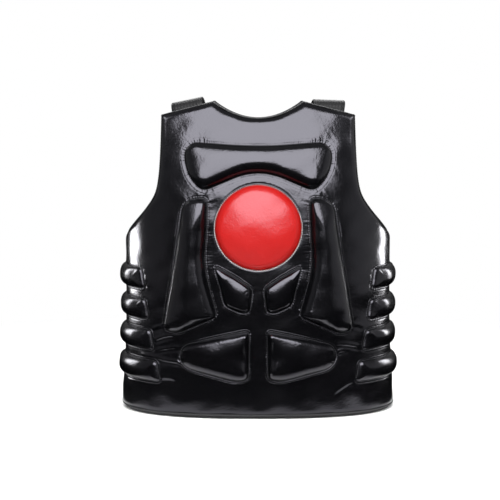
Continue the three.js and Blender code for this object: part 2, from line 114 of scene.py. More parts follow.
# %% The chest's level sections
TORSO = [  # height, half width, front, back
    (0, 200, -101, 123),
    (125, 192, -106, 123),
    (250, 191, -108, 121),
    (350, 190, -103, 119),
    (430, 189, -87, 117),
    (510, 186, -56, 115),
]
SECTION_POWER = 2.5  # 2 is an ellipse, and more is squarer
SECTION_POINTS = 4001
HEIGHTS = np.arange(-8.0, 524.0, 4.0)
ARCS = np.arange(-8.0, 640.0, 2.0)


def lengths_along(x, y):
    """How far along a run of points each of them lies."""
    return np.concatenate([[0], np.cumsum(np.hypot(np.diff(x), np.diff(y)))])


def level_section(height):
    """Points at even arcs round the level section, from the front centre line to the right."""
    half_width, front, back = (float(table_curve(TORSO, c, height)) for c in (1, 2, 3))
    turn = np.linspace(0, math.pi, SECTION_POINTS)
    across, along = np.sin(turn), np.cos(turn)
    x = half_width * np.abs(across) ** (2 / SECTION_POWER)
    reach = np.sign(along) * np.abs(along) ** (2 / SECTION_POWER)
    y = (front + back) / 2 - (back - front) / 2 * reach
    arc = lengths_along(x, y)
    half = arc[-1]
    folded = np.abs(ARCS)
    side = np.where((ARCS < 0) | (folded > half), -1, 1)
    folded = np.where(folded > half, 2 * half - folded, folded)
    return np.stack([side * np.interp(folded, arc, x), np.interp(folded, arc, y)], axis=-1), half


sections = [level_section(h) for h in HEIGHTS]
SECTION_TABLE = np.array([points for points, half in sections])
HALF_GIRTHS = np.array([half for points, half in sections])
print("half girth at the waist", round(float(np.interp(100, HEIGHTS, HALF_GIRTHS)), 1), "mm")

# %% Places on the torso and the way through its wall
HEM_BASE = 4
PLUMB_RISE = 24  # the wall stands plumb at the hem and takes up its own lean over this height


def cubic_weights(t):
    """The shares of four neighbours at a place t between the middle two."""
    return (
        (-t + 2 * t**2 - t**3) / 2,
        (2 - 5 * t**2 + 3 * t**3) / 2,
        (t + 4 * t**2 - 3 * t**3) / 2,
        (-(t**2) + t**3) / 2,
    )


def unit(vectors):
    return vectors / np.linalg.norm(vectors, axis=-1, keepdims=True)


def torso_point(arc, height):
    """The shell's inner face at a place on the pattern."""
    arc, height = np.broadcast_arrays(np.asarray(arc, float), np.asarray(height, float))
    column = (np.abs(arc) - ARCS[0]) / (ARCS[1] - ARCS[0])
    row = (height - HEIGHTS[0]) / (HEIGHTS[1] - HEIGHTS[0])
    i = np.clip(np.floor(column).astype(int), 1, len(ARCS) - 3)
    j = np.clip(np.floor(row).astype(int), 1, len(HEIGHTS) - 3)
    point = np.zeros(arc.shape + (3,))
    for b, row_share in enumerate(cubic_weights(row - j)):
        for a, column_share in enumerate(cubic_weights(column - i)):
            share = (row_share * column_share)[..., None]
            point[..., :2] += share * SECTION_TABLE[j + b - 1, i + a - 1]
    point[..., 0] *= np.where(arc < 0, -1, 1)
    point[..., 2] = height
    return point


def torso_across(arc, height):
    return unit(torso_point(arc + 1, height) - torso_point(arc - 1, height))


def torso_normal(arc, height):
    """The direction through the wall, outwards. At the hem the wall stands plumb."""
    height = np.asarray(height, float)
    upwards = torso_point(arc, height + 1) - torso_point(arc, height - 1)
    outwards = unit(np.cross(torso_across(arc, height), upwards))
    outwards[..., 2] *= smooth01((height - HEM_BASE) / PLUMB_RISE)
    return unit(outwards)


def torso_offset(arc, height, offset):
    return torso_point(arc, height) + np.asarray(offset)[..., None] * torso_normal(arc, height)


print("front centre of the wall at mid height", torso_offset(0.0, 250.0, 26.0).round(1))

# %% [markdown]
# ## The pattern's outline and the wall
# The shell is one wide panel: a hem, two sides that turn in under the arms, two shoulders and a neckline.
# Its foam is 26 mm thick and is skived thin along every edge, so the leather rolls over there. On glossy
# leather that roll is the dark border that follows the neck and the armholes.

# %% The outline
NECK_CENTRE, NECK_PEAK, NECK_PEAK_ARC, NECK_BEND = 473, 499, 69, 2
SHOULDER_ARC, SHOULDER_HEIGHT = 152, 478
SHELL_WALL, EDGE_WALL, EDGE_ROUND, HEM_WALL, HEM_ROUND = 26, 9, 15, 19, 10
SIDE_EDGE = [  # height, arc
    (0, 330),
    (150, 331),
    (225, 328),
    (258, 308),
    (276, 281),
    (289, 250),
    (304, 216),
    (318, 195),
    (336, 176),
    (356, 162),
    (380, 156),
    (421, 153),
    (478, 152),
]


def side_arc(height):
    return table_curve(SIDE_EDGE, 1, height)


def top_height(arc):
    place = np.abs(arc)
    neck = NECK_CENTRE + (NECK_PEAK - NECK_CENTRE) * (np.minimum(place / NECK_PEAK_ARC, 1)) ** NECK_BEND
    slope = np.clip((place - NECK_PEAK_ARC) / (SHOULDER_ARC - NECK_PEAK_ARC), 0, 1)
    return neck + slope * (SHOULDER_HEIGHT - NECK_PEAK)


def distance_to_line(points, line):
    """Each point's distance to a line of points, and how far along the line the nearest place is."""
    starts, steps = line[:-1], np.diff(line, axis=0)
    lengths = np.linalg.norm(steps, axis=1)
    begins = np.concatenate([[0], np.cumsum(lengths)[:-1]])
    nearest = np.full(len(points), np.inf)
    along = np.zeros(len(points))
    for start, step, length, begin in zip(starts, steps, lengths, begins):
        t = np.clip((points - start) @ step / length**2, 0, 1)
        apart = np.hypot(*(points - start - t[:, None] * step).T)
        closer = apart < nearest
        nearest[closer] = apart[closer]
        along[closer] = begin + t[closer] * length
    return nearest, along


SIDE_POINTS, TOP_POINTS = 160, 60
side_heights = np.linspace(HEM_BASE, SHOULDER_HEIGHT, SIDE_POINTS)
top_arcs = np.linspace(SHOULDER_ARC, 0, TOP_POINTS)[1:]
OUTLINE = np.concatenate(
    [
        np.stack([side_arc(side_heights), side_heights], axis=-1),
        np.stack([top_arcs, top_height(top_arcs)], axis=-1),
    ]
)


def wall_at(arc, height):
    """The wall's thickness at a place on the pattern, thin along every edge."""
    arc, height = np.broadcast_arrays(np.asarray(arc, float), np.asarray(height, float))
    places = np.stack([np.abs(arc).ravel(), height.ravel()], axis=-1)
    apart = distance_to_line(places, OUTLINE)[0].reshape(arc.shape)
    near_edge = EDGE_WALL + (SHELL_WALL - EDGE_WALL) * rounded_rise(apart / EDGE_ROUND)
    near_hem = HEM_WALL + (SHELL_WALL - HEM_WALL) * rounded_rise((height - HEM_BASE) / HEM_ROUND)
    return np.minimum(near_edge, near_hem)


print("outline of", len(OUTLINE), "points on each side")

# %% [markdown]
# ## The pads' seams
# Each raised pad is a piece of foam under its own leather, sewn down along a closed seam. A seam is a few
# corners with rounded turns. The pad rises from it in a quarter round and crowns on towards a spine line,
# which is how a stuffed shape of that outline settles. Some pads lean: their foam is cut thicker towards
# one side, so lean gives the share by which a pad grows away from the centre line and upwards. Leather
# is pulled tight over a pad's top edge, so the round is narrower there by a share, and gather says how
# much spare leather the seam has to take up. The rolls start low at their front ends and reach their
# full height a little further round the flank.

# %% Sizes of the pads
DISC = {
    "rise": 14, "round": 12, "top_round": 1, "crown": 12, "lean": (0, 0), "gather": 0.2,
    "radius": 65, "height": 305,
}
CHEST_BAR = {
    "rise": 14, "round": 16, "top_round": 0.7, "crown": 3, "lean": (0, -0.2), "gather": 1,
    "corners": [  # arc, height, rounding
        (-84, 360, 14), (0, 396, 70), (84, 360, 14), (105, 384, 16), (112, 418, 16),
        (99, 433, 9), (0, 426, 70), (-99, 433, 9), (-112, 418, 16), (-105, 384, 16),
    ],
    "spine": [(-84, 404), (84, 404)],
}
FLANK_PAD = {
    "rise": 12, "round": 16, "top_round": 0.6, "crown": 9, "lean": (-0.18, -0.1), "gather": 0.8,
    "corners": [
        (62, 167, 8), (122, 137, 12), (142, 142, 10), (118, 300, 80),
        (112, 346, 18), (76, 352, 14), (78, 296, 40), (82, 244, 40),
    ],
    "spine": [(96, 300), (103, 170)],
}
UPPER_AB_PAD = {
    "rise": 10, "round": 13, "top_round": 0.5, "crown": 5, "lean": (0, 0), "gather": 0.6,
    "corners": [
        (13, 174, 8), (26, 172, 8), (51, 184, 9), (56, 208, 20), (66, 247, 7), (38, 232, 26), (9, 211, 8),
    ],
    "spine": [(26, 191), (50, 226)],
}
LOWER_AB_PAD = {
    "rise": 13, "round": 18, "top_round": 0.45, "crown": 1, "lean": (-0.3, 0), "gather": 0.6,
    "corners": [
        (15, 66, 9), (34, 62, 12), (108, 82, 10), (119, 98, 10),
        (113, 119, 11), (60, 135, 40), (14, 145, 9),
    ],
    "spine": [(40, 103), (92, 105)],
}
RIB = {
    "rise": 10.5, "round": 16, "top_round": 1, "crown": 0, "lean": (0, 0), "gather": 0.3,
    "front_round": 0.4, "front_share": 0.35,
}
RIB_REAR, RIB_SLANT, RIB_CORNER_ROUND, RIB_SPINE_INSET = 268, 3, 7, 17
RIB_ROWS = [(176, 205, 238), (170, 156, 189), (161, 107, 140), (151, 57, 90)]  # front, low, high
DISC_CORNERS = 16
print(len(RIB_ROWS), "rolls on each side, and a disc", 2 * DISC["radius"], "mm across")


# %% Shapes of the rolls and the disc
def rib_shape(front, low, high):
    turn = RIB_CORNER_ROUND
    middle = (low + high) / 2
    return {
        **RIB,
        "corners": [
            (front - RIB_SLANT, low, turn),
            (RIB_REAR, low, turn),
            (RIB_REAR, high, turn),
            (front + RIB_SLANT, high, turn),
        ],
        "spine": [(front + RIB_SPINE_INSET, middle), (RIB_REAR - RIB_SPINE_INSET, middle)],
    }


def disc_shape():
    turns = np.linspace(0, 2 * math.pi, DISC_CORNERS + 1)[:-1]
    reach = DISC["radius"] / math.cos(math.pi / DISC_CORNERS)
    corners = [(reach * math.cos(t), DISC["height"] + reach * math.sin(t), reach) for t in turns]
    return {**DISC, "corners": corners, "spine": [(0, DISC["height"])] * 2}


# %% From corners to a seam
CORNER_SHARE = 0.48  # of the way to the next corner, which a rounding may take
CORNER_POINTS = 24
SEAM_STEP = 0.6  # mm


def read_run(at, along, points):
    """Points of a run at lengths along it."""
    return np.stack([np.interp(at, along, column) for column in points.T], axis=-1)


def seam_line(corners, side):
    """A closed run of points round a pad, turning left, with each corner eased by a curve."""
    corners = [(side * a, h, r) for a, h, r in corners]
    if side < 0:
        corners.reverse()
    places = np.array([c[:2] for c in corners], float)
    count = len(corners)
    points = []
    for i, (place, (_, _, turn)) in enumerate(zip(places, corners)):
        ends = []
        for other in (places[i - 1], places[(i + 1) % count]):
            way = other - place
            length = np.hypot(*way)
            ends.append(place + way / length * min(turn, length * CORNER_SHARE))
        t = np.linspace(0, 1, CORNER_POINTS)[:, None]
        points.extend((1 - t) ** 2 * ends[0] + 2 * t * (1 - t) * place + t**2 * ends[1])
    points = np.array(points + points[:1])
    along = lengths_along(*points.T)
    return read_run(np.linspace(0, along[-1], int(along[-1] / SEAM_STEP)), along, points)


def pad_names():
    """Each pad's name, shape and side, in the order in which they are sewn on."""
    yield "chest_bar", CHEST_BAR, 1
    yield "target_disc", disc_shape(), 1
    for word, side in (("left", -1), ("right", 1)):
        yield f"flank_pad_{word}", FLANK_PAD, side
        yield f"upper_ab_pad_{word}", UPPER_AB_PAD, side
        yield f"lower_ab_pad_{word}", LOWER_AB_PAD, side
        for number, row in enumerate(RIB_ROWS, start=1):
            yield f"rib_pad_{word}_{number}", rib_shape(*row), side


SEAMS = {}
for number, (name, shape, side) in enumerate(pad_names()):
    line = seam_line(shape["corners"], side)
    SEAMS[name] = {"line": line, "shape": shape, "side": side, "seed": number}
print(len(SEAMS), "seams, the longest", max(len(s["line"]) for s in SEAMS.values()) * SEAM_STEP, "mm")

# %% [markdown]
# ## Gathered leather
# A flat hide doesn't want to go round a corner. Where it is sewn down there, the spare leather gathers in
# small humps with pinched valleys between them, longest at the tight turns. The cloth simulation that
# stuffs the pads further on can't find such gathers, because its mesh is coarser than they are. The humps
# are the size of a few stitches, so they are worked out here as waves along each seam that fade with the
# distance from it.

# %% Humps along a seam
HUMP_LENGTHS = (3.6, 5.2, 7.8)
GATHER = 0.34  # hump height in mm on a straight seam
GATHER_AT_TURNS = 0.3  # and what a tight turn adds
GATHER_REACH_OUT, GATHER_REACH_IN = 10.0, 7.0
TIGHT_TURN = 1 / 14  # radians a millimetre, from which a turn counts as tight
TURN_SPREAD = 41  # seam points over which the turn is evened out
HUMPS_IN_SWELL, SWELL_BASE = 4.5, 0.35  # the humps come and go in swells
PINCH, MEAN_HUMP = 0.04, 0.68  # how soft the valleys are, and the humps' mean, taken off
REACH_BASE, REACH_GAIN, REACH_FALL = 0.7, 0.6, 1.5  # strong gathers reach further before they fade
SEAM_SEED = 100


def seam_facts(seam):
    """Length, tightness of turn and waves of one seam, kept with it."""
    line = seam["line"]
    step = np.diff(line, axis=0)
    heading = np.unwrap(np.arctan2(step[:, 1], step[:, 0]))
    seam["length"] = float(np.hypot(*step.T).sum())
    turn = np.gradient(heading) / SEAM_STEP
    spread = np.hanning(TURN_SPREAD)
    spread /= spread.sum()
    edge = TURN_SPREAD - 1
    wrapped = np.concatenate([turn[-edge:], turn, turn[:edge]])
    seam["turn"] = np.convolve(wrapped, spread, mode="same")[edge:-edge]
    dice = np.random.default_rng(SEAM_SEED + seam["seed"])
    seam["waves"] = []
    for length in HUMP_LENGTHS:
        count = round(seam["length"] / length)
        swell = round(seam["length"] / (length * HUMPS_IN_SWELL))
        seam["waves"].append((count, dice.uniform(0, math.pi), swell, dice.uniform(0, 2 * math.pi)))


def gathers(seam, along, inset):
    """Height of the gathered leather at a place: along the seam, and inset from it, negative outside."""
    share = along / seam["length"]
    height = np.zeros_like(share)
    for count, start, swell, swell_start in seam["waves"]:
        hump = np.sqrt(np.sin(math.pi * count * share + start) ** 2 + PINCH) - MEAN_HUMP
        height += hump * np.clip(np.sin(2 * math.pi * swell * share + swell_start) + SWELL_BASE, 0, 1)
    tight = np.interp(along, np.arange(len(seam["turn"])) * SEAM_STEP, seam["turn"])
    tightness = np.clip(np.abs(tight) / TIGHT_TURN, 0, 1)
    strength = seam["shape"]["gather"] * (GATHER + GATHER_AT_TURNS * tightness)
    reach = np.where(inset < 0, GATHER_REACH_OUT, GATHER_REACH_IN) * (REACH_BASE + REACH_GAIN * strength)
    return strength * height * np.exp(-((np.abs(inset) / reach) ** REACH_FALL))


for seam in SEAMS.values():
    seam_facts(seam)
print("all seams together", round(sum(s["length"] for s in SEAMS.values())), "mm")

# %% [markdown]
# ## Meshes from arrays
# The pieces are grids and rings of points, so one helper turns arrays of millimetres into a closed,
# smooth-shaded Blender mesh with its faces pointing outwards.

# %% Mesh helper
def add_mesh(name, points, faces, materials=(), uv=None, face_materials=None):
    mesh = bpy.data.meshes.new(name)
    mesh.from_pydata((np.asarray(points) * MM).tolist(), [], [tuple(map(int, f)) for f in faces])
    if uv is not None:
        layer = mesh.uv_layers.new(name="along_and_across")
        corners = np.empty(len(mesh.loops), int)
        mesh.loops.foreach_get("vertex_index", corners)
        layer.data.foreach_set("uv", np.asarray(uv, float)[corners].ravel())
    for material in materials:
        mesh.materials.append(material)
    if face_materials is not None:
        mesh.polygons.foreach_set("material_index", np.asarray(face_materials, np.int32))
    work = bmesh.new()
    work.from_mesh(mesh)
    bmesh.ops.recalc_face_normals(work, faces=work.faces)
    work.to_mesh(mesh)
    open_edges = sum(not e.is_manifold for e in work.edges)
    work.free()
    mesh.shade_smooth()
    print(name, len(mesh.polygons), "faces,", open_edges, "open edges")
    return in_scene(name, mesh)


def strip_faces(lower, upper, closed):
    """Four-cornered faces between two rows of vertex numbers."""
    count = len(lower) if closed else len(lower) - 1
    faces = []
    for i in range(count):
        j = (i + 1) % len(lower)
        faces.append((lower[i], lower[j], upper[j], upper[i]))
    return faces


# %% [markdown]
# ## Materials
# Colours are written as the hex values one reads off a screen, and Blender's shaders want linear light,
# so one function converts them. Another adds a node with its settings and links, and each finish is then
# a short list of nodes.

# %% Colours and nodes
def hex_linear(text):
    """sRGB hex to linear colour with full opacity."""
    parts = [int(text[i : i + 2], 16) / 255 for i in (1, 3, 5)]
    linear = [c / 12.92 if c <= 0.04045 else ((c + 0.055) / 1.055) ** 2.4 for c in parts]
    return (*linear, 1.0)


def add_node(tree, kind, settings=None, links=None, numbered=None, **values):
    """A node with its own settings, incoming links, and socket values by number or by name."""
    node = tree.nodes.new(kind)
    for key, value in (settings or {}).items():
        setattr(node, key, value)
    for key, value in (numbered or {}).items():
        node.inputs[key].default_value = value
    for key, value in values.items():
        node.inputs[key.replace("_", " ")].default_value = value
    for key, source in (links or {}).items():
        tree.links.new(source, node.inputs[key])
    return node


def new_material(name):
    material = bpy.data.materials.new(name)
    material.use_nodes = True
    material.node_tree.nodes.clear()
    return material, material.node_tree


def waves_per_metre(size_mm):
    """A noise or cell texture's scale for features of one size."""
    return 1 / (size_mm * MM)


DARK, LIGHT, MIXED = 6, 7, 2  # a Mix node's two colour inputs and its colour output
print("mid grey in linear light", round(hex_linear("#808080")[0], 3))

# %% [markdown]
# ## Coated leather, black and red
# The cover is a synthetic coated leather: a fabric base under a pressed, pigmented coat. The coat is
# smooth enough to show a soft image of the lights, and its pressed pebble grain and fine wrinkles blur and
# break that image. The real grain is about 1 mm, too fine for the picture, so it is drawn at twice that.

# %% Leather
PEBBLE_MM, PEBBLE_DEPTH_MM = 2.2, 0.18
FINE_WRINKLE_MM, WRINKLE_DEPTH_MM = 6.0, 0.6
TONE_PATCH_MM = 45.0
GLOSSIER, DULLER = 0.05, 0.06  # how far the patches change the roughness


def coated_leather(name, dark, light, roughness, grain, shine):
    material, tree = new_material(name)
    place = add_node(tree, "ShaderNodeTexCoord").outputs["Object"]
    patches = add_node(
        tree,
        "ShaderNodeTexNoise",
        links={"Vector": place},
        Scale=waves_per_metre(TONE_PATCH_MM),
        Detail=4.0,
    )
    tone = add_node(
        tree,
        "ShaderNodeMix",
        {"data_type": "RGBA"},
        {"Factor": patches.outputs["Fac"]},
        {DARK: hex_linear(dark), LIGHT: hex_linear(light)},
    )
    gloss = add_node(
        tree,
        "ShaderNodeMapRange",
        links={"Value": patches.outputs["Fac"]},
        To_Min=roughness - GLOSSIER,
        To_Max=roughness + DULLER,
    )
    pebbles = add_node(
        tree,
        "ShaderNodeTexVoronoi",
        {"feature": "SMOOTH_F1"},
        {"Vector": place},
        Scale=waves_per_metre(PEBBLE_MM),
        Smoothness=0.6,
    )
    wrinkles = add_node(
        tree,
        "ShaderNodeTexNoise",
        links={"Vector": place},
        Scale=waves_per_metre(FINE_WRINKLE_MM),
        Detail=3.0,
        Distortion=0.8,
    )
    soft = add_node(
        tree,
        "ShaderNodeBump",
        links={"Height": wrinkles.outputs["Fac"]},
        Strength=grain,
        Distance=WRINKLE_DEPTH_MM * MM,
    )
    fine = add_node(
        tree,
        "ShaderNodeBump",
        {"invert": True},
        {"Height": pebbles.outputs["Distance"], "Normal": soft.outputs["Normal"]},
        Strength=grain,
        Distance=PEBBLE_DEPTH_MM * MM,
    )
    surface = add_node(
        tree,
        "ShaderNodeBsdfPrincipled",
        links={
            "Base Color": tone.outputs[MIXED],
            "Roughness": gloss.outputs["Result"],
            "Normal": fine.outputs["Normal"],
        },
        IOR=1.5,
        Specular_IOR_Level=shine,
        Specular_Tint=hex_linear("#F3F1FF"),
    )
    add_node(tree, "ShaderNodeOutputMaterial", links={"Surface": surface.outputs["BSDF"]})
    return material


BLACK_LEATHER = coated_leather(
    "black_coated_leather", "#030304", "#060607", roughness=0.18, grain=0.35, shine=0.5
)
RED_LEATHER = coated_leather(
    "red_coated_leather", "#880D0B", "#92110D", roughness=0.3, grain=0.5, shine=0.4
)
print("leathers made")

# %% [markdown]
# ## Woven tape, webbing, lining and thread
# Tape and webbing are nylon yarns woven across each other, so their surface is rows of tiny ribs. The
# pieces carry a map of metres along and across, and two waves on that map make the ribs. The lining is a
# plain dull cloth, the thread is a shiny twisted polyester, and the leather's backing is pale cotton. The
# thread is really black, and its lighter tone is a painted highlight for the seams' dotted glints. The pale
# backing also stands for a painted highlight on the disc's lower rim.

# %% Woven finishes
WAVE_UNIT = math.pi / 20  # a Wave texture's scale for a rib and a valley of one size each
YARN_DEPTH_MM, THREAD_DEPTH_MM = 0.5, 0.4


def woven_nylon(name, dark, light, rib_mm, row_mm, roughness):
    material, tree = new_material(name)
    place = add_node(tree, "ShaderNodeUVMap").outputs["UV"]
    waves = []
    for direction, size_mm, wobble in (("X", rib_mm, 0.6), ("Y", row_mm, 0.4)):
        wave = add_node(
            tree,
            "ShaderNodeTexWave",
            {"bands_direction": direction, "wave_profile": "SIN"},
            {"Vector": place},
            Scale=waves_per_metre(size_mm) * WAVE_UNIT,
            Distortion=wobble,
            Detail=1.0,
        )
        waves.append(wave.outputs["Fac"])
    weave = add_node(tree, "ShaderNodeMath", {"operation": "MULTIPLY"}, {0: waves[0], 1: waves[1]})
    tone = add_node(
        tree,
        "ShaderNodeMix",
        {"data_type": "RGBA"},
        {"Factor": weave.outputs["Value"]},
        {DARK: hex_linear(dark), LIGHT: hex_linear(light)},
    )
    relief = add_node(
        tree,
        "ShaderNodeBump",
        links={"Height": weave.outputs["Value"]},
        Strength=0.7,
        Distance=YARN_DEPTH_MM * MM,
    )
    surface = add_node(
        tree,
        "ShaderNodeBsdfPrincipled",
        links={"Base Color": tone.outputs[MIXED], "Normal": relief.outputs["Normal"]},
        Roughness=roughness,
        Specular_IOR_Level=0.3,
        Sheen_Weight=0.05,
    )
    add_node(tree, "ShaderNodeOutputMaterial", links={"Surface": surface.outputs["BSDF"]})
    return material


def plain_cloth(name, dark, light, thread_mm, roughness):
    material, tree = new_material(name)
    place = add_node(tree, "ShaderNodeTexCoord").outputs["Object"]
    threads = add_node(
        tree, "ShaderNodeTexNoise", links={"Vector": place}, Scale=waves_per_metre(thread_mm), Detail=2.0
    )
    tone = add_node(
        tree,
        "ShaderNodeMix",
        {"data_type": "RGBA"},
        {"Factor": threads.outputs["Fac"]},
        {DARK: hex_linear(dark), LIGHT: hex_linear(light)},
    )
    relief = add_node(
        tree,
        "ShaderNodeBump",
        links={"Height": threads.outputs["Fac"]},
        Strength=0.5,
        Distance=THREAD_DEPTH_MM * MM,
    )
    surface = add_node(
        tree,
        "ShaderNodeBsdfPrincipled",
        links={"Base Color": tone.outputs[MIXED], "Normal": relief.outputs["Normal"]},
        Roughness=roughness,
    )
    add_node(tree, "ShaderNodeOutputMaterial", links={"Surface": surface.outputs["BSDF"]})
    return material


BINDING_TAPE = woven_nylon(
    "black_binding_tape", "#08080A", "#161618", rib_mm=2.0, row_mm=2.4, roughness=0.7
)
WEBBING = woven_nylon("black_nylon_webbing", "#040405", "#131315", rib_mm=3.2, row_mm=2.6, roughness=0.6)
LINING = plain_cloth("black_lining_cloth", "#0C0C0D", "#1C1C1E", thread_mm=1.6, roughness=0.8)
# The thread's light tone is a painted highlight: the real thread is black, and its glints stand in for the
# seams' dotted highlights.
STITCH_THREAD_AND_GLINTS = plain_cloth("black_thread_with_painted_glints", "#121214", "#38383C", thread_mm=0.8, roughness=0.34)
# The pale backing is partly a painted highlight: on the disc it shows as the light line along the lower
# rim.
PALE_EDGE_AND_PAINTED_HIGHLIGHT = plain_cloth("pale_backing_and_painted_rim_highlight", "#B4B0AF", "#D6D2D0", thread_mm=0.8, roughness=0.8)
print("woven finishes made")

# %% [markdown]
# ## The shell
# The shell is the thick wall itself. Its outer leather is a fine grid of points on the pattern, lifted to
# the foam's thickness. The leather lies slack on the foam in slow waves, gathers along every seam, sinks
# under each pad where the seam pulls it down, and folds between the flank pads and the lowest rolls where
# the wall bends. The lining inside is a quarter as fine, because it is plain.

# %% Slow waves and folds of the cover
SLACK, SLACK_SEED = 0.35, 7  # mm, and where its dice start
SLACK_LENGTHS = np.linspace(28, 90, 22)
CALM_RISE, CALM_FADE = 4, 10  # mm of wall over which the waves set in
FOLDS = [  # arc and height of both ends, depth and width of the fold, all in mm
    (-157, 140, -142, 146, 1.1, 1.9),
    (-156, 122, -127, 133, 1.5, 1.9),
    (-180, 95, -140, 91, 1.4, 2.0),
    (-146, 91, -112, 87, 1.5, 2.0),
    (-152, 106, -113, 114, 1.1, 1.9),
    (-146, 61, -126, 61, 0.9, 2.0),
    (141, 148, 157, 144, 1.1, 1.9),
    (117, 119, 152, 112, 1.5, 2.0),
    (117, 104, 136, 109, 1.1, 1.9),
    (116, 40, 144, 57, 0.6, 1.8),
    (93, 71, 87, 52, 0.4, 1.6),
    (-110, 446, -102, 436, 0.1, 1.6),
    (-113, 438, -105, 430, 0.1, 1.6),
    (-112, 458, -108, 448, 0.08, 1.6),
    (104, 452, 112, 440, 0.1, 1.6),
    (108, 444, 117, 434, 0.1, 1.6),
    (112, 460, 115, 446, 0.08, 1.6),
    (112, 402, 126, 380, 0.12, 2.4),
    (96, 360, 104, 342, 0.5, 2.0),
    (87, 358, 90, 344, 0.4, 1.8),
    (-92, 360, -97, 345, 0.4, 1.9),
]
FOLD_BOW, FOLD_ENDS, END_START = 1.5, 4, 0.4  # mm that a fold bows aside, and how its ends fade
LIP_PEAK = 1.65  # brings the lip's height to the fold's depth
PAD_SINK, SINK_STARTS, BAR_SINK_STARTS = 3.2, 2.6, 6.4  # mm deep, from mm outside the seam
SEAM_MARGIN, SEAM_SKIP = 26, 3  # mm round a seam that it can reach, and seam points used
print(len(FOLDS), "folds and", len(SLACK_LENGTHS), "slack waves")


def slack_waves(arc, height):
    dice = np.random.default_rng(SLACK_SEED)
    total = np.zeros(np.broadcast(arc, height).shape)
    for length in SLACK_LENGTHS:
        way = dice.uniform(0, math.pi)
        along = arc * math.cos(way) + height * math.sin(way)
        total += np.sin(2 * math.pi * along / length + dice.uniform(0, 2 * math.pi))
    return SLACK * total / math.sqrt(len(SLACK_LENGTHS) / 2)


def away_from_edge(wall):
    """None where the wall is skived thin, and all of it a little further in."""
    return smooth01((wall - EDGE_WALL - CALM_RISE) / CALM_FADE)


def cover_at(arc, height):
    """The cover's distance from the inner face: the wall, and slack waves that die out near its edges."""
    wall = wall_at(arc, height)
    return wall + away_from_edge(wall) * slack_waves(arc, height)


def fold_relief(arc, height):
    """Sharp little folds, one lip up and one down, that fade out at their ends."""
    total = np.zeros(arc.shape)
    places = np.stack([arc.ravel(), height.ravel()], axis=-1)
    for a0, h0, a1, h1, depth, width in FOLDS:
        start = np.array([a0, h0])
        way = np.array([a1, h1]) - start
        length = np.hypot(*way)
        way = way / length
        t = (places - start) @ way / length
        bow = FOLD_BOW * np.sin(math.pi * np.clip(t, 0, 1))
        apart = ((places - start) @ np.array([-way[1], way[0]]) - bow) / width
        fade = smooth01(t * FOLD_ENDS + END_START) * smooth01((1 - t) * FOLD_ENDS + END_START)
        lip = apart * np.exp(-(apart**2) / 2) * LIP_PEAK
        total += (depth * fade * lip).reshape(arc.shape)
    return total


# %% What the seams do to the cover
def inside_outline(places, line):
    """Whether each place lies inside a closed run of points."""
    inside = np.zeros(len(places), bool)
    for (x0, y0), (x1, y1) in zip(line, np.roll(line, -1, axis=0)):
        if y0 == y1:
            continue
        crosses = (y0 > places[:, 1]) != (y1 > places[:, 1])
        inside ^= crosses & (places[:, 0] < (x1 - x0) * (places[:, 1] - y0) / (y1 - y0) + x0)
    return inside


def seam_relief(arc, height):
    """What the seams do to the cover: gathers outside each pad and a sunk bed under it."""
    places = np.stack([arc.ravel(), height.ravel()], axis=-1)
    total = np.zeros(len(places))
    for name, seam in SEAMS.items():
        line = seam["line"]
        low, high = line.min(0) - SEAM_MARGIN, line.max(0) + SEAM_MARGIN
        near = np.all((places > low) & (places < high), axis=1)
        apart, along = distance_to_line(places[near], line[::SEAM_SKIP])
        inset = np.where(inside_outline(places[near], line[::SEAM_SKIP]), apart, -apart)
        outside = inset < 0
        relief = np.zeros(len(apart))
        relief[outside] = gathers(seam, along[outside], inset[outside])
        reach = BAR_SINK_STARTS if name == "chest_bar" else SINK_STARTS
        relief -= PAD_SINK * smooth01((inset + reach) / reach)
        total[near] += relief
    return total.reshape(arc.shape)


# %% The shell's grid
MIDDLE_COLUMNS, SIDE_COLUMNS, SHELL_ROWS, LINING_STEP = 180, 60, 288, 4
TOP_BLEND = 300  # mm up, from where the rows bend to the neckline
SEARCH_STEPS = 2000
ROW_CROWDING = 0.6  # rows are closest where the sides turn in under the arms
COLUMN_CROWDING, MIDDLE_SHARE = 1.6, 0.5  # columns crowd to the side edges outside the middle share


def shell_places():
    """Arc and height of each grid point, with rows spread along the side edge."""
    fine = np.linspace(HEM_BASE, SHOULDER_HEIGHT, SEARCH_STEPS)
    run = lengths_along(fine, side_arc(fine))
    share = np.linspace(0, 1, SHELL_ROWS + 1)
    share = 0.5 - 0.5 * np.cos(math.pi * share) * (1 - ROW_CROWDING * np.sin(math.pi * share))
    rows = np.interp(share * run[-1], run, fine)
    crowded = 1 - (1 - np.linspace(0, 1, SIDE_COLUMNS + 1)[1:]) ** COLUMN_CROWDING
    outer = MIDDLE_SHARE + (1 - MIDDLE_SHARE) * crowded
    middle = np.linspace(-MIDDLE_SHARE, MIDDLE_SHARE, MIDDLE_COLUMNS + 1)
    columns = np.concatenate([-outer[::-1], middle, outer])
    arc = side_arc(rows)[:, None] * columns[None, :]
    lift = smooth01((rows - TOP_BLEND) / (SHOULDER_HEIGHT - TOP_BLEND))[:, None]
    height = rows[:, None] + lift * (top_height(arc) - SHOULDER_HEIGHT)
    return arc, height


shell_arc, shell_height = shell_places()
relief = seam_relief(shell_arc, shell_height)
relief += away_from_edge(wall_at(shell_arc, shell_height)) * fold_relief(shell_arc, shell_height)
shell_outer = torso_offset(shell_arc, shell_height, cover_at(shell_arc, shell_height) + relief)
lining_places = (slice(None, None, LINING_STEP),) * 2
shell_inner = torso_point(shell_arc[lining_places], shell_height[lining_places])
print("seams and folds move the cover by", relief.min().round(1), "to", relief.max().round(1), "mm")


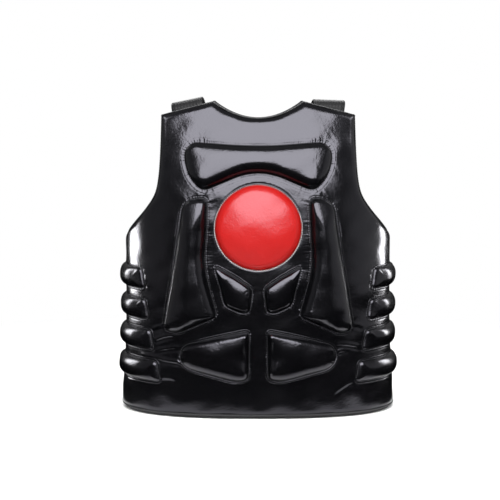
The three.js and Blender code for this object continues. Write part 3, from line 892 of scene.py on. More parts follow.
# %% The shell's mesh
def rim_faces(fine, coarse):
    """Faces between a fine edge and one with a quarter of its points."""
    faces = []
    for k in range(len(coarse) - 1):
        f = fine[LINING_STEP * k : LINING_STEP * (k + 1) + 1]
        a, b = coarse[k], coarse[k + 1]
        faces += [(a, f[0], f[1]), (a, f[1], f[2]), (a, f[2], b), (b, f[2], f[3]), (b, f[3], f[4])]
    return faces


def shell_mesh():
    outer = np.arange(shell_outer[..., 0].size).reshape(shell_outer.shape[:2])
    inner = np.arange(shell_inner[..., 0].size).reshape(shell_inner.shape[:2]) + outer.size
    faces = []
    for low, high in zip(outer[:-1], outer[1:]):
        faces += strip_faces(low, high, closed=False)
    for fine, coarse in (
        (outer[0], inner[0]),
        (outer[-1], inner[-1]),
        (outer[:, 0], inner[:, 0]),
        (outer[:, -1], inner[:, -1]),
    ):
        faces += rim_faces(fine, coarse)
    leather_faces = len(faces)
    for low, high in zip(inner[:-1], inner[1:]):
        faces += strip_faces(high, low, closed=False)
    finishes = [0] * leather_faces + [1] * (len(faces) - leather_faces)
    points = np.concatenate([shell_outer.reshape(-1, 3), shell_inner.reshape(-1, 3)])
    return add_mesh("shell_cover", points, faces, [BLACK_LEATHER, LINING], face_materials=finishes)


shell_cover = shell_mesh()

# %% [markdown]
# ## Rings of a pad
# A pad's mesh runs in rings from its seam inwards to its spine. Points on both long sides of the spine face
# each other, so that the rings close on it without a gap. The same layout serves twice: coarse, to be
# stuffed by simulation, and fine, to be sewn down and seen.

# %% Where a pad's points lie on the pattern
ROUND_SHARE = 0.92  # of a pad's half width, which its round may take at most
EDGE_TURN = 1.4  # how quickly a round narrows as the seam turns to the top or the front
FRONT_TAPER = 34  # mm over which a roll grows to its height
FEWEST_PAIRS = 8
VALLEY = -0.8  # mm, how deep the seam lies


def face_to_face(seam, pitch):
    """Seam points that pair up across the spine: their way along it, and the spine point each faces."""
    line = seam["line"]
    side = seam["side"]
    ends = np.array([(side * a, h) for a, h in seam["shape"]["spine"]], float)
    along = np.linspace(0, seam["length"], len(line))
    way = ends[1] - ends[0]
    if not way.any():
        count = int(seam["length"] / pitch)
        return np.arange(count) * seam["length"] / count, np.zeros(count, int), ends[:1]
    t = (line - ends[0]) @ way / (way @ way)
    first = int(np.argmax((t[:-1] < 0) & (t[1:] >= 0)))
    t = np.roll(t[:-1], -first - 1)
    run = np.arange(len(t)) * seam["length"] / len(t)
    top = int(np.argmax(t > 1))
    back = top + int(np.argmax(t[top:] < 1))
    low = back + int(np.argmax(t[back:] < 0))
    pairs = max(FEWEST_PAIRS, int(np.hypot(*way) / pitch))
    shares = np.linspace(0, 1, pairs)
    up = np.interp(shares, t[:top], run[:top])
    far = np.linspace(run[top], run[back], int((run[back] - run[top]) / pitch))[1:-1]
    down = np.interp(shares, t[back:low][::-1], run[back:low][::-1])[::-1]
    near = np.linspace(run[low], seam["length"], int((seam["length"] - run[low]) / pitch))[1:-1]
    faced = np.concatenate(
        [
            np.arange(pairs),
            np.full(len(far), pairs - 1),
            np.arange(pairs)[::-1],
            np.zeros(len(near), int),
        ]
    )
    runs = np.concatenate([up, far, down, near]) + along[first + 1]
    return runs % seam["length"], faced, ends[0] + shares[:, None] * way


# %% A pad's layout and its foam
def pad_layout(seam, pitch):
    """Seam points, the way out of the pad at each, the spine point each faces, and the round's width."""
    line, shape = seam["line"], seam["shape"]
    run, faced, spine = face_to_face(seam, pitch)
    steps = np.linspace(0, seam["length"], len(line))

    def on_seam(at):
        return read_run(at % seam["length"], steps, line)

    seam_points = on_seam(run)
    heading = unit(on_seam(run + 2) - on_seam(run - 2))
    outwards = np.stack([heading[:, 1], -heading[:, 0]], axis=-1)
    depth = np.hypot(*(spine[faced] - seam_points).T)
    widest = min(shape["round"], depth.min() * ROUND_SHARE)
    widest = widest * (1 - (1 - shape["top_round"]) * smooth01(EDGE_TURN * outwards[:, 1]))
    to_front = -seam["side"] * outwards[:, 0]
    widest = widest * (1 - (1 - shape.get("front_round", 1)) * smooth01(EDGE_TURN * to_front))
    return {
        "run": run,
        "faced": faced,
        "spine": spine,
        "seam_points": seam_points,
        "outwards": outwards,
        "depth": depth,
        "widest": widest,
    }


def ring_places(layout, inset):
    start = layout["seam_points"]
    return start + (layout["spine"][layout["faced"]] - start) * (inset / layout["depth"])[:, None]


def lean_at(seam, places):
    """The share by which a leaning or tapered pad is thicker or thinner at each place."""
    shape = seam["shape"]
    low, high = seam["line"].min(0), seam["line"].max(0)
    share = np.array([seam["side"], 1]) * (2 * places - low - high) / (high - low)
    from_front = (share[:, 0] + 1) / 2 * (high - low)[0]
    front = shape.get("front_share", 1)
    taper = front + (1 - front) * smooth01(from_front / FRONT_TAPER)
    return taper * (1 + share @ np.array(shape["lean"], float))


def foam_lift(seam, layout, inset):
    """Height of the cut foam over a ring, from the seam's valley up."""
    shape = seam["shape"]
    lift = (shape["rise"] - VALLEY) * rounded_rise(inset / layout["widest"]) + VALLEY
    lift += shape["crown"] * np.sin(math.pi / 2 * inset / layout["depth"])
    return lift * lean_at(seam, ring_places(layout, inset))


def on_wall(places, lift):
    return torso_offset(places[:, 0], places[:, 1], cover_at(places[:, 0], places[:, 1]) + lift)


print(len(pad_layout(SEAMS["target_disc"], 5.0)["run"]), "coarse points round the disc")

# %% [markdown]
# ## Stuffing the pads
# The leather of a pad is a flat piece pulled over foam, and the foam pushes it out evenly, so its middle
# swells and its corners draw tight. Blender's Cloth gives just that: a coarse copy of each pad, a little
# smaller than it ends, is pinned along its seam and blown up with pressure, without gravity. All pads run
# at once for twenty frames. What each point moved is capped and kept, and the fine rings take it up later,
# so that seams and gathers, narrower than this mesh, stay as sharp as they are sewn.

# %% Coarse pads under pressure
STUFF_PITCH = 5.0  # mm between coarse points
STUFF_SHARES = np.array([0, 0.06, 0.14, 0.24, 0.36, 0.5, 0.66, 0.83])  # rings, from seam to spine
STUFF_START = 0.9  # of the foam's height, before the swelling
STUFF_FRAMES, STUFF_PRESSURE = 20, 32.0
STUFF_CAP, STUFF_PASSES = 6.0, 6  # mm of swelling kept at most, and passes that even it out
COVER_CLOTH = {
    "mass": 0.05,
    "tension_stiffness": 3,
    "compression_stiffness": 3,
    "shear_stiffness": 1.5,
    "bending_stiffness": 1,
    "use_pressure": True,
    "uniform_pressure_force": STUFF_PRESSURE,
}


def spine_lift(seam, spine):
    """Height of the cut foam along the spine."""
    return (seam["shape"]["rise"] + seam["shape"]["crown"]) * lean_at(seam, spine)


def coarse_pad(name):
    """A pinned coarse pad with Cloth on it, and its points before the swelling."""
    seam = SEAMS[name]
    layout = pad_layout(seam, STUFF_PITCH)
    count = len(layout["run"])
    rings = []
    for share in STUFF_SHARES:
        inset = share * layout["depth"]
        rings.append(on_wall(ring_places(layout, inset), STUFF_START * foam_lift(seam, layout, inset)))
    spine = layout["spine"]
    points = np.concatenate(rings + [on_wall(spine, STUFF_START * spine_lift(seam, spine))])
    numbers = np.arange(len(rings) * count).reshape(len(rings), count)
    faces = []
    for lower, upper in zip(numbers[:-1], numbers[1:]):
        faces += strip_faces(lower, upper, closed=True)
    faces += spine_faces(numbers[-1], numbers.size + np.arange(len(spine)), layout["faced"])
    pad = add_mesh(name + "_stuffing", points, faces)
    pins = pad.vertex_groups.new(name="sewn")
    pins.add(list(range(count)), 1.0, "REPLACE")
    cloth = pad.modifiers.new("stuffing", "CLOTH")
    cloth.settings.vertex_group_mass = "sewn"
    for key, value in COVER_CLOTH.items():
        setattr(cloth.settings, key, value)
    cloth.settings.effector_weights.gravity = 0
    cloth.collision_settings.use_collision = False
    return pad, layout, points


def spine_faces(ring, spine, faced):
    """Faces that close the last ring on the spine."""
    faces = []
    for i in range(len(ring)):
        j = (i + 1) % len(ring)
        corners = [ring[i], ring[j], spine[faced[j]], spine[faced[i]]]
        faces.append(corners[:3] if faced[i] == faced[j] else corners)
    return faces


def spine_means(values, faced):
    """Mean of the values of all ring points that face each spine point."""
    total = np.stack([np.bincount(faced, values[:, k]) for k in range(3)], axis=-1)
    return total / np.bincount(faced)[:, None]


# %% The run of the stuffing
def smooth_moves(table, faced):
    """Even out what the coarse points can't carry, along the rings and across them."""
    for step in range(STUFF_PASSES):
        table = (np.roll(table, 1, axis=1) + 2 * table + np.roll(table, -1, axis=1)) / 4
        table[1:-1] = (table[:-2] + 2 * table[1:-1] + table[2:]) / 4
        table[-1] = spine_means((table[-1] + table[-2]) / 2, faced)[faced]
        table[0] = 0
    return table


def stuff(names):
    """How far each point of the coarse pads swells, in millimetres, as rings of points."""
    coarse = {name: coarse_pad(name) for name in names}
    scene = bpy.context.scene
    for step in range(1, STUFF_FRAMES + 1):
        scene.frame_set(step)
    ready = bpy.context.evaluated_depsgraph_get()
    swelling = {}
    for name, (pad, layout, points) in coarse.items():
        mesh = pad.evaluated_get(ready).data
        swollen = np.empty(len(points) * 3)
        mesh.vertices.foreach_get("co", swollen)
        moves = swollen.reshape(-1, 3) / MM - points
        reach = np.linalg.norm(moves, axis=1, keepdims=True)
        moves *= np.minimum(1, STUFF_CAP / np.maximum(reach, 1e-6))
        count = len(layout["run"])
        rings = moves[: len(STUFF_SHARES) * count].reshape(len(STUFF_SHARES), count, 3)
        spine = moves[len(STUFF_SHARES) * count :][layout["faced"]]
        table = smooth_moves(np.concatenate([rings, spine[None]]), layout["faced"])
        swelling[name] = (layout["run"], table)
        evened = np.linalg.norm(table, axis=-1)
        print(name, "swelled", reach.max().round(1), "mm at most,", evened.max().round(1), "mm evened out")
        bpy.data.objects.remove(pad)
    scene.frame_set(1)
    return swelling


SWELLING = stuff(SEAMS)


# %% Reading the swelling back
def swell(seam_name, run, share):
    """The swelling at places along a seam and at shares of the way to the spine, in smooth cubic steps."""
    runs, table = SWELLING[seam_name]
    length = SEAMS[seam_name]["length"]
    order = np.argsort(runs)
    runs, table = runs[order], table[:, order]
    count, last = len(runs), len(STUFF_SHARES)
    marks = np.concatenate([[runs[-1] - length], runs, [runs[0] + length]])
    column = np.interp(run, marks, np.arange(-1, count + 1))
    row = np.interp(share, np.append(STUFF_SHARES, 1), np.arange(last + 1))
    i = np.floor(column).astype(int)
    j = np.clip(np.floor(row).astype(int), 0, last - 1)
    moved = np.zeros((len(run), 3))
    for b, row_share in enumerate(cubic_weights(row - j)):
        for a, column_share in enumerate(cubic_weights(column - i)):
            nearby = table[np.clip(j + b - 1, 0, last), (i + a - 1) % count]
            moved += (row_share * column_share)[:, None] * nearby
    return moved


# %% [markdown]
# ## Sewing the pads
# Outside its seam each pad carries a lip of cover leather that the stitching pulls down, dimpled at each
# stitch, which breaks its highlight into the dotted line that the seams show. The lip of the chest bar
# slopes down wide, because the leather is pulled hardest there. The disc is laid on, so its cut edge
# shows the pale backing cloth of the red leather as a thin light line, widest at the foot. That line is
# partly the real edge and partly a painted highlight on the disc's lower rim.

# %% Fine rings of a pad
LIP = [  # inset from the seam and lift, in mm
    (-4, 0.05), (-3.2, 0.12), (-2.5, 0.3), (-1.8, 0.36), (-1.1, 0.15), (-0.5, -0.3), (0, VALLEY),
]
BAR_LIP = [
    (-7.5, -0.2), (-6.6, -0.06), (-5.7, -0.02), (-4.6, -0.12),
    (-3.4, -0.3), (-2.2, -0.52), (-1, -0.7), (0, VALLEY),
]
DISC_LIP = [
    (-4.5, 0.05), (-3.6, 0.15), (-2.8, 0.2), (-2.1, 0.15), (-1.5, 0.1), (-0.8, -0.3), (0, VALLEY),
]
# The cut edge rings take the pale backing, partly a painted highlight. The lip narrows at the top, so the
# light line is widest at the foot.
DISC_EDGE_RINGS = 2  # the innermost rings of the disc's lip that are its cut edge
DISC_LIP_AT_TOP = 0.4  # its width there, against that at the foot
STITCH_PITCH = 3.6
DIMPLE, DIMPLE_OUT, DIMPLE_SPREAD = 0.65, 1.8, 1.2  # mm deep, mm outside the seam, and how wide
ROUND_RINGS, FACE_RINGS = 14, 9
POINT_PITCH = 0.95
BED_DEPTH, BED_EDGE, BED_EDGE_DEPTH, BED_INSET = 1.9, 0.4, 0.5, 1.0  # the underside, let into the cover
GATHERS_IN = 2  # mm inside the seam over which the pad's own gathers set in


def pad_rings(name, layout, lip):
    """Points of each ring, from the lip's outer edge to the one next to the spine."""
    seam = SEAMS[name]
    run, outwards = layout["run"], layout["outwards"]
    stitches = round(seam["length"] / STITCH_PITCH)
    dimple = DIMPLE * np.cos(math.pi * stitches * run / seam["length"]) ** 4
    # On the disc the lip narrows towards the top, so the pale edge, partly a painted highlight, shows
    # mostly at the foot.
    narrow = np.ones(len(run))
    if name == "target_disc":
        narrow = 1 - (1 - DISC_LIP_AT_TOP) * (1 + outwards[:, 1]) / 2
    rings = []
    for inset, lift in lip:
        lifted = lift + gathers(seam, run, inset * narrow)
        lifted -= dimple * math.exp(-((inset + DIMPLE_OUT) ** 2) / DIMPLE_SPREAD)
        rings.append(on_wall(layout["seam_points"] - outwards * (inset * narrow)[:, None], lifted))
    widest, depth = layout["widest"], layout["depth"]
    turns = np.linspace(0, math.pi / 2, ROUND_RINGS + 1)[1:]
    insets = [widest * (1 - math.cos(turn)) for turn in turns]
    insets += [widest + (depth - widest) * share for share in np.linspace(0, 1, FACE_RINGS + 1)[1:-1]]
    for inset in insets:
        lifted = STUFF_START * foam_lift(seam, layout, inset)
        lifted += gathers(seam, run, inset) * smooth01(inset / GATHERS_IN)
        rings.append(on_wall(ring_places(layout, inset), lifted) + swell(name, run, inset / depth))
    return rings


def spine_points(name, layout):
    spine, faced = layout["spine"], layout["faced"]
    moved = swell(name, layout["run"], np.ones(len(faced)))
    return on_wall(spine, STUFF_START * spine_lift(SEAMS[name], spine)) + spine_means(moved, faced)


# %% Pads from their rings
def pad_mesh(name, material):
    layout = pad_layout(SEAMS[name], POINT_PITCH)
    lip = {"target_disc": DISC_LIP, "chest_bar": BAR_LIP}.get(name, LIP)
    rings = pad_rings(name, layout, lip)
    bed = []
    for reach, lift in ((-lip[0][0] - BED_EDGE, -BED_EDGE_DEPTH), (-BED_INSET, -BED_DEPTH)):
        places = layout["seam_points"] + layout["outwards"] * reach
        bed.append(on_wall(places, np.full(len(places), lift)))
    under_spine = on_wall(layout["spine"], np.full(len(layout["spine"]), -BED_DEPTH))
    spines = [spine_points(name, layout), under_spine]
    numbers, start = [], 0
    for points in rings + bed + spines:
        numbers.append(np.arange(start, start + len(points)))
        start += len(points)
    bed_edge, bed_ring, top_spine, bed_spine = numbers[-4:]
    edge_rings = DISC_EDGE_RINGS if name == "target_disc" else 0

    faces, finishes = [], []

    def add_faces(fresh, finish):
        faces.extend(fresh)
        finishes.extend([finish] * len(fresh))

    add_faces(strip_faces(bed_ring, bed_edge, closed=True), 0)
    add_faces(strip_faces(bed_edge, numbers[0], closed=True), 0)
    for k in range(len(rings) - 1):
        finish = 1 if k >= len(lip) - 1 else 2 if k >= len(lip) - 1 - edge_rings else 0
        add_faces(strip_faces(numbers[k], numbers[k + 1], closed=True), finish)
    add_faces(spine_faces(numbers[len(rings) - 1], top_spine, layout["faced"]), 1)
    add_faces(spine_faces(bed_ring, bed_spine, layout["faced"]), 0)
    finish_list = [BLACK_LEATHER, material, PALE_EDGE_AND_PAINTED_HIGHLIGHT][: 3 if edge_rings else 2]
    points = np.concatenate(rings + bed + spines)
    return add_mesh(name + "_cover", points, faces, finish_list, face_materials=finishes)


pads = {}
for name in SEAMS:
    pads[name] = pad_mesh(name, RED_LEATHER if name == "target_disc" else BLACK_LEATHER)

# %% [markdown]
# ## Bound edges
# A strip of woven tape is folded over the shell's raw edge and sewn through. It wraps a few millimetres on
# to both faces. The tape is swept along the edge, with a section that follows the wall's own rounding.

# %% Tape over an edge
WRAP_OUT, WRAP_IN, TAPE = 5.0, 6.0, 0.9  # mm of tape on each face, and its thickness
TAPE_BEYOND, HEM_BEYOND = 2.6, 3.7  # mm past the edge
TURN_POINTS, SQUARE_TURN, ROUND_TURN = 11, 0.55, 0.7  # the section's turn over the edge
UNDER_TAPE, UNDER_TAPE_IN, UNDER_TAPE_END = 0.1, 0.2, 0.3  # mm between the tape and what it covers


def tape_section(arc, height, inward, beyond_by):
    """Points round the tape at each place of an edge, given the way into the panel on the pattern."""
    wall = wall_at(arc, height)
    outwards = torso_normal(arc, height)
    root = torso_point(arc, height)
    inner_step = torso_point(arc + inward[:, 0], height + inward[:, 1]) - root
    beyond = unit(-(inner_step - (inner_step * outwards).sum(-1, keepdims=True) * outwards))

    def on_face(inset, lift, outside):
        a, h = arc + inward[:, 0] * inset, height + inward[:, 1] * inset
        return torso_offset(a, h, (wall_at(a, h) if outside else 0 * a) + lift)

    section = [on_face(WRAP_OUT * share, TAPE, True) for share in (1, 0.66, 0.33)]
    for turn in np.linspace(0, math.pi, TURN_POINTS):
        level = math.copysign(abs(math.cos(turn)) ** SQUARE_TURN, math.cos(turn))
        out = wall / 2 + (wall / 2 + TAPE) * level
        past = beyond_by * math.sin(turn) ** ROUND_TURN + UNDER_TAPE_IN
        section.append(root + out[:, None] * outwards + past * beyond)
    section += [on_face(WRAP_IN * share, -TAPE, False) for share in (0.5, 1)]
    section += [on_face(inset, -UNDER_TAPE, False) for inset in (WRAP_IN, UNDER_TAPE_END)]
    section += [on_face(inset, UNDER_TAPE, True) for inset in (UNDER_TAPE_END, WRAP_OUT)]
    return np.stack(section, axis=1)


# %% A skin over stations
def swept_piece(name, stations, material, closed=False):
    """A closed skin over stations of equal point counts, with a map of metres along and across."""
    count, around = stations.shape[:2]
    numbers = np.arange(count * around).reshape(count, around)
    faces = []
    for a, b in zip(numbers[:-1], numbers[1:]):
        faces += strip_faces(a, b, closed=True)
    if closed:
        faces += strip_faces(numbers[-1], numbers[0], closed=True)
    else:
        faces += [tuple(numbers[0][::-1]), tuple(numbers[-1])]
    along = np.concatenate([[0], np.cumsum(np.linalg.norm(np.diff(stations.mean(1), axis=0), axis=1))])
    rounds = np.linalg.norm(np.diff(stations, axis=1), axis=2).mean(0)
    across = np.concatenate([[0], np.cumsum(rounds)])
    uv = np.stack(np.broadcast_arrays(along[:, None], across[None, :]), axis=-1).reshape(-1, 2) * MM
    return add_mesh(name, stations.reshape(-1, 3), faces, [material], uv=uv)


def edge_inward(arc, height, towards):
    """The way into the panel, square to the run of an edge on the pattern."""
    run = unit(np.stack([np.gradient(arc), np.gradient(height)], axis=-1))
    inward = np.stack([-run[:, 1], run[:, 0]], axis=-1)
    flip = np.sign((inward * towards).sum(-1, keepdims=True))
    return inward * np.where(flip == 0, 1, flip)


# %% The four edges
HEM_STEPS, NECK_STEPS, SIDE_STEPS = 240, 200, 260
SIDE_RISE = 0.2  # the way into the panel from a side edge also rises a little
EDGES = {}
hem_arcs = np.linspace(-side_arc(HEM_BASE), side_arc(HEM_BASE), HEM_STEPS)
EDGES["hem_binding"] = (hem_arcs, np.full(HEM_STEPS, float(HEM_BASE)), np.array([0, 1]), HEM_BEYOND)
neck_arcs = np.linspace(-SHOULDER_ARC, SHOULDER_ARC, NECK_STEPS)
EDGES["neck_binding"] = (neck_arcs, top_height(neck_arcs), np.array([0, -1]), TAPE_BEYOND)
side_run = np.linspace(HEM_BASE, SHOULDER_HEIGHT, SIDE_STEPS)
for word, side in (("left", -1), ("right", 1)):
    towards = np.array([-side, SIDE_RISE])
    EDGES[f"armhole_binding_{word}"] = (side * side_arc(side_run), side_run, towards, TAPE_BEYOND)

bindings = {}
for name, (arc, height, towards, beyond_by) in EDGES.items():
    stations = tape_section(arc, height, edge_inward(arc, height, towards), beyond_by)
    bindings[name] = swept_piece(name + "_tape", stations, BINDING_TAPE)

# %% [markdown]
# ## Belt and straps
# The belt closes the loop behind, and two webbing straps come from inside the shoulders over the top edge
# and down the back to the belt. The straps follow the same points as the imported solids. Webbing is a flat
# band with soft selvedges, so its section is a thin rounded rectangle.

# %% Bands of webbing
BELT_FRONT, BELT_LOW, BELT_HIGH, BELT_THICK = 282, 45, 145, 4
STRAP_WIDTH, STRAP_THICK, STRAP_BOW, STRAP_ARC = 53, 3, 1.8, 115
STRAP_ANCHOR_LOW, STRAP_ON_BELT, STRAP_END, STRAP_SEAT, SEAT_GAP = 440, 70, 62, 12, 0.3
STRAP_SLOPES = {"left": 0.2, "right": 0.04}  # how far each falls outwards on the shoulder
SLOPE_STARTS, SLOPE_HOLDS, SLOPE_ENDS = 0.1, 0.18, 0.42  # shares of the run
BAND_THIN = 0.94  # the bands lie just inside their solids
SELVEDGE = 0.35  # of the thickness, which rounds a band's edge
BELT_STEPS, STRAP_STEPS, RUN_POINTS = 120, 220, 60
BELT_ACROSS, STRAP_ACROSS = 15, 9  # points across a band
STRAP_RUN = [  # across, back, height
    (115, -42, 501),
    (113, -8, 502),
    (107, 55, 468),
    (98, 105, 385),
    (86, 134, 270),
    (75, 150, 180),
]


def half_girth(height):
    return np.interp(height, HEIGHTS, HALF_GIRTHS)


def band_section(width, thick, steps):
    """Points round a flat band: sideways and outwards, with soft selvedges."""
    across = np.linspace(-1, 1, steps) * (width / 2 - thick * SELVEDGE)
    upper = [(a, thick / 2) for a in across]
    lower = [(a, -thick / 2) for a in across[::-1]]
    return np.array(upper + [(width / 2, 0)] + lower + [(-width / 2, 0)])


def belt_piece():
    shares = np.concatenate([np.linspace(0, 1, BELT_STEPS), np.linspace(1, 0, BELT_STEPS)[1:]])
    sides = np.concatenate([np.ones(BELT_STEPS), -np.ones(BELT_STEPS - 1)])
    middle = SHELL_WALL + SEAT_GAP + BELT_THICK / 2
    section = band_section(BELT_HIGH - BELT_LOW, BELT_THICK * BAND_THIN, BELT_ACROSS)
    stations = []
    for upwards, out in section:
        height = np.full(len(shares), (BELT_LOW + BELT_HIGH) / 2 + upwards)
        arc = sides * (BELT_FRONT + shares * (half_girth(height) - BELT_FRONT))
        stations.append(torso_offset(arc, height, np.full(len(arc), middle + out)))
    return swept_piece("back_belt_band", np.stack(stations, axis=1), WEBBING)


# %% A smooth run through points
def between(first, second, at, start, end):
    return first + (second - first) * (at - start) / (end - start)


def smooth_run(points, count):
    """A centripetal curve through points, read at even steps of its length."""
    points = np.asarray(points, float)
    padded = np.vstack([2 * points[0] - points[1], points, 2 * points[-1] - points[-2]])
    curve = []
    for k in range(1, len(padded) - 2):
        p = padded[k - 1 : k + 3]
        knots = np.concatenate([[0], np.cumsum(np.linalg.norm(np.diff(p, axis=0), axis=1) ** 0.5)])
        t = np.linspace(knots[1], knots[2], RUN_POINTS)[:, None]
        level = list(p)
        for span in (1, 2):
            pairs = enumerate(zip(level[:-1], level[1:]))
            level = [between(a, b, t, knots[i], knots[i + span]) for i, (a, b) in pairs]
        curve.append(between(level[0], level[1], t, knots[1], knots[2]))
    curve = np.concatenate(curve)
    along = np.concatenate([[0], np.cumsum(np.linalg.norm(np.diff(curve, axis=0), axis=1))])
    return read_run(np.linspace(0, along[-1], count), along, curve), float(along[-1])


# %% Both straps
def strap_middle():
    """The middle line of the right strap and its total length."""
    edge = float(top_height(STRAP_ARC))
    inside = -(SEAT_GAP + STRAP_THICK / 2 + STRAP_BOW)
    front_heights = np.array([STRAP_ANCHOR_LOW, (STRAP_ANCHOR_LOW + edge) / 2, edge])
    front = torso_offset(np.full(3, STRAP_ARC), front_heights, np.full(3, inside))
    back_heights = np.array([BELT_HIGH - STRAP_SEAT, (BELT_HIGH + STRAP_END) / 2, STRAP_END])
    on_belt = SHELL_WALL + BELT_THICK + 2 * SEAT_GAP + STRAP_THICK / 2
    back = torso_offset(half_girth(back_heights) - STRAP_ON_BELT, back_heights, np.full(3, on_belt))
    return smooth_run(np.vstack([front, np.array(STRAP_RUN, float), back]), STRAP_STEPS)


def strap_piece(word, side):
    middle, length = strap_middle()
    along = unit(np.gradient(middle, axis=0))
    edge = float(top_height(STRAP_ARC))
    front_across = torso_across(np.float64(STRAP_ARC), np.float64(edge))
    back_across = -torso_across(half_girth(BELT_HIGH) - STRAP_ON_BELT, np.float64(BELT_HIGH))
    share = np.linspace(0, 1, len(middle))
    across = front_across + smooth01(share)[:, None] * (back_across - front_across)
    leaving = (share - SLOPE_HOLDS) / (SLOPE_ENDS - SLOPE_HOLDS)
    across[:, 2] -= STRAP_SLOPES[word] * smooth01(share / SLOPE_STARTS) * (1 - smooth01(leaving))
    across = unit(across)
    outwards = unit(np.cross(across, along))
    section = band_section(STRAP_WIDTH, STRAP_THICK * BAND_THIN, STRAP_ACROSS)
    sideways = section[None, :, :1] * across[:, None]
    stations = middle[:, None] + sideways + section[None, :, 1:] * outwards[:, None]
    stations = stations * np.array([side, 1, 1])
    return swept_piece(f"shoulder_strap_{word}_band", stations, WEBBING), length


belt = belt_piece()
straps = {}
for word, side in (("left", -1), ("right", 1)):
    straps[word], strap_length = strap_piece(word, side)
print("each strap is", round(strap_length), "mm long")

# %% [markdown]
# ## Stitching
# Every seam is a row of lock stitches about 3.6 mm long. They repeat along paths, which is just what
# Geometry Nodes do well: a curve is cut at an even pitch, a small rounded stitch is put on each cut and
# turned along the path, and the result is made real. The tree's inputs are the pitch, the length and the
# thickness of a stitch.

# %% The stitch tree
def stitch_tree():
    tree = bpy.data.node_groups.new("lock_stitches", "GeometryNodeTree")
    sockets = tree.interface
    sockets.new_socket("Geometry", in_out="INPUT", socket_type="NodeSocketGeometry")
    for label in ("Pitch", "Stitch Length", "Stitch Thickness"):
        sockets.new_socket(label, in_out="INPUT", socket_type="NodeSocketFloat")
    sockets.new_socket("Thread", in_out="INPUT", socket_type="NodeSocketMaterial")
    sockets.new_socket("Geometry", in_out="OUTPUT", socket_type="NodeSocketGeometry")
    given = add_node(tree, "NodeGroupInput").outputs
    points = add_node(
        tree,
        "GeometryNodeResampleCurve",
        {"mode": "LENGTH"},
        {"Curve": given["Geometry"], "Length": given["Pitch"]},
    )
    bead = add_node(tree, "GeometryNodeMeshUVSphere", Segments=8, Rings=5, Radius=0.5)
    size = add_node(
        tree,
        "ShaderNodeCombineXYZ",
        links={"X": given["Stitch Length"], "Y": given["Stitch Thickness"], "Z": given["Stitch Thickness"]},
    )
    stitch = add_node(
        tree,
        "GeometryNodeTransform",
        links={"Geometry": bead.outputs["Mesh"], "Scale": size.outputs["Vector"]},
    )
    way = add_node(tree, "GeometryNodeInputTangent")
    turn = add_node(
        tree, "FunctionNodeAlignRotationToVector", {"axis": "X"}, {"Vector": way.outputs["Tangent"]}
    )
    row = add_node(
        tree,
        "GeometryNodeInstanceOnPoints",
        links={
            "Points": points.outputs["Curve"],
            "Instance": stitch.outputs["Geometry"],
            "Rotation": turn.outputs["Rotation"],
        },
    )
    real = add_node(tree, "GeometryNodeRealizeInstances", links={"Geometry": row.outputs["Instances"]})
    smooth = add_node(tree, "GeometryNodeSetShadeSmooth", links={"Geometry": real.outputs["Geometry"]})
    sewn = add_node(
        tree,
        "GeometryNodeSetMaterial",
        links={"Geometry": smooth.outputs["Geometry"], "Material": given["Thread"]},
    )
    add_node(tree, "NodeGroupOutput", links={"Geometry": sewn.outputs["Geometry"]})
    return tree


STITCHES = stitch_tree()
print("stitch tree of", len(STITCHES.nodes), "nodes")


# %% Sewing along paths
def sew(name, paths, pitch_mm, length_mm, thick_mm):
    """One mesh of stitches along paths of points in millimetres, each with a mark for a closed path."""
    data = bpy.data.curves.new(name + "_path", "CURVE")
    data.dimensions = "3D"
    for points, closed in paths:
        spline = data.splines.new("POLY")
        spline.points.add(len(points) - 1)
        spline.points.foreach_set("co", np.column_stack([points * MM, np.ones(len(points))]).ravel())
        spline.use_cyclic_u = closed
    path = in_scene(name + "_path", data)
    nodes = path.modifiers.new("stitches", "NODES")
    nodes.node_group = STITCHES
    values = {
        "Pitch": pitch_mm * MM,
        "Stitch Length": length_mm * MM,
        "Stitch Thickness": thick_mm * MM,
        "Thread": STITCH_THREAD_AND_GLINTS,
    }
    for socket in STITCHES.interface.items_tree:
        if socket.in_out == "INPUT" and socket.name in values:
            nodes[socket.identifier] = values[socket.name]
    ready = path.evaluated_get(bpy.context.evaluated_depsgraph_get())
    mesh = bpy.data.meshes.new_from_object(ready)
    path.modifiers.remove(nodes)
    bpy.data.objects.remove(path)
    mesh.name = name
    print(name, len(mesh.polygons), "faces")
    return in_scene(name, mesh)


# %% Rows of stitches
STITCH_LIFT, STITCH_OUT = -0.1, 0.5
TAPE_ROW_INSET, TAPE_ROW_LIFT = 3.4, 0.15
BELT_ROW_INSET, BELT_ROW_POINTS = 4, 300
TAPE_STITCH_PITCH, TAPE_STITCH, PAD_STITCH = 4.0, 2.9, 2.7
THICK_THREAD, THIN_THREAD = 0.8, 0.7


def seam_paths():
    for seam in SEAMS.values():
        line = seam["line"][:-1:2]
        heading = unit(np.roll(line, -2, axis=0) - np.roll(line, 2, axis=0))
        places = line + STITCH_OUT * np.stack([heading[:, 1], -heading[:, 0]], axis=-1)
        yield on_wall(places, STITCH_LIFT), True


def tape_paths():
    for arc, height, towards, _ in EDGES.values():
        inward = edge_inward(arc, height, towards)
        a, h = arc + inward[:, 0] * TAPE_ROW_INSET, height + inward[:, 1] * TAPE_ROW_INSET
        yield torso_offset(a, h, wall_at(a, h) + TAPE + TAPE_ROW_LIFT), False


def band_paths():
    """Rows near both edges of the belt, on its outer face."""
    out = SHELL_WALL + SEAT_GAP + BELT_THICK
    inset, count = BELT_ROW_INSET, BELT_ROW_POINTS
    for height in (BELT_LOW + inset, BELT_HIGH - inset):
        half = float(half_girth(height))
        arc = np.linspace(BELT_FRONT + inset, 2 * half - BELT_FRONT - inset, count)
        yield torso_offset(arc, np.full(count, float(height)), np.full(count, out)), False


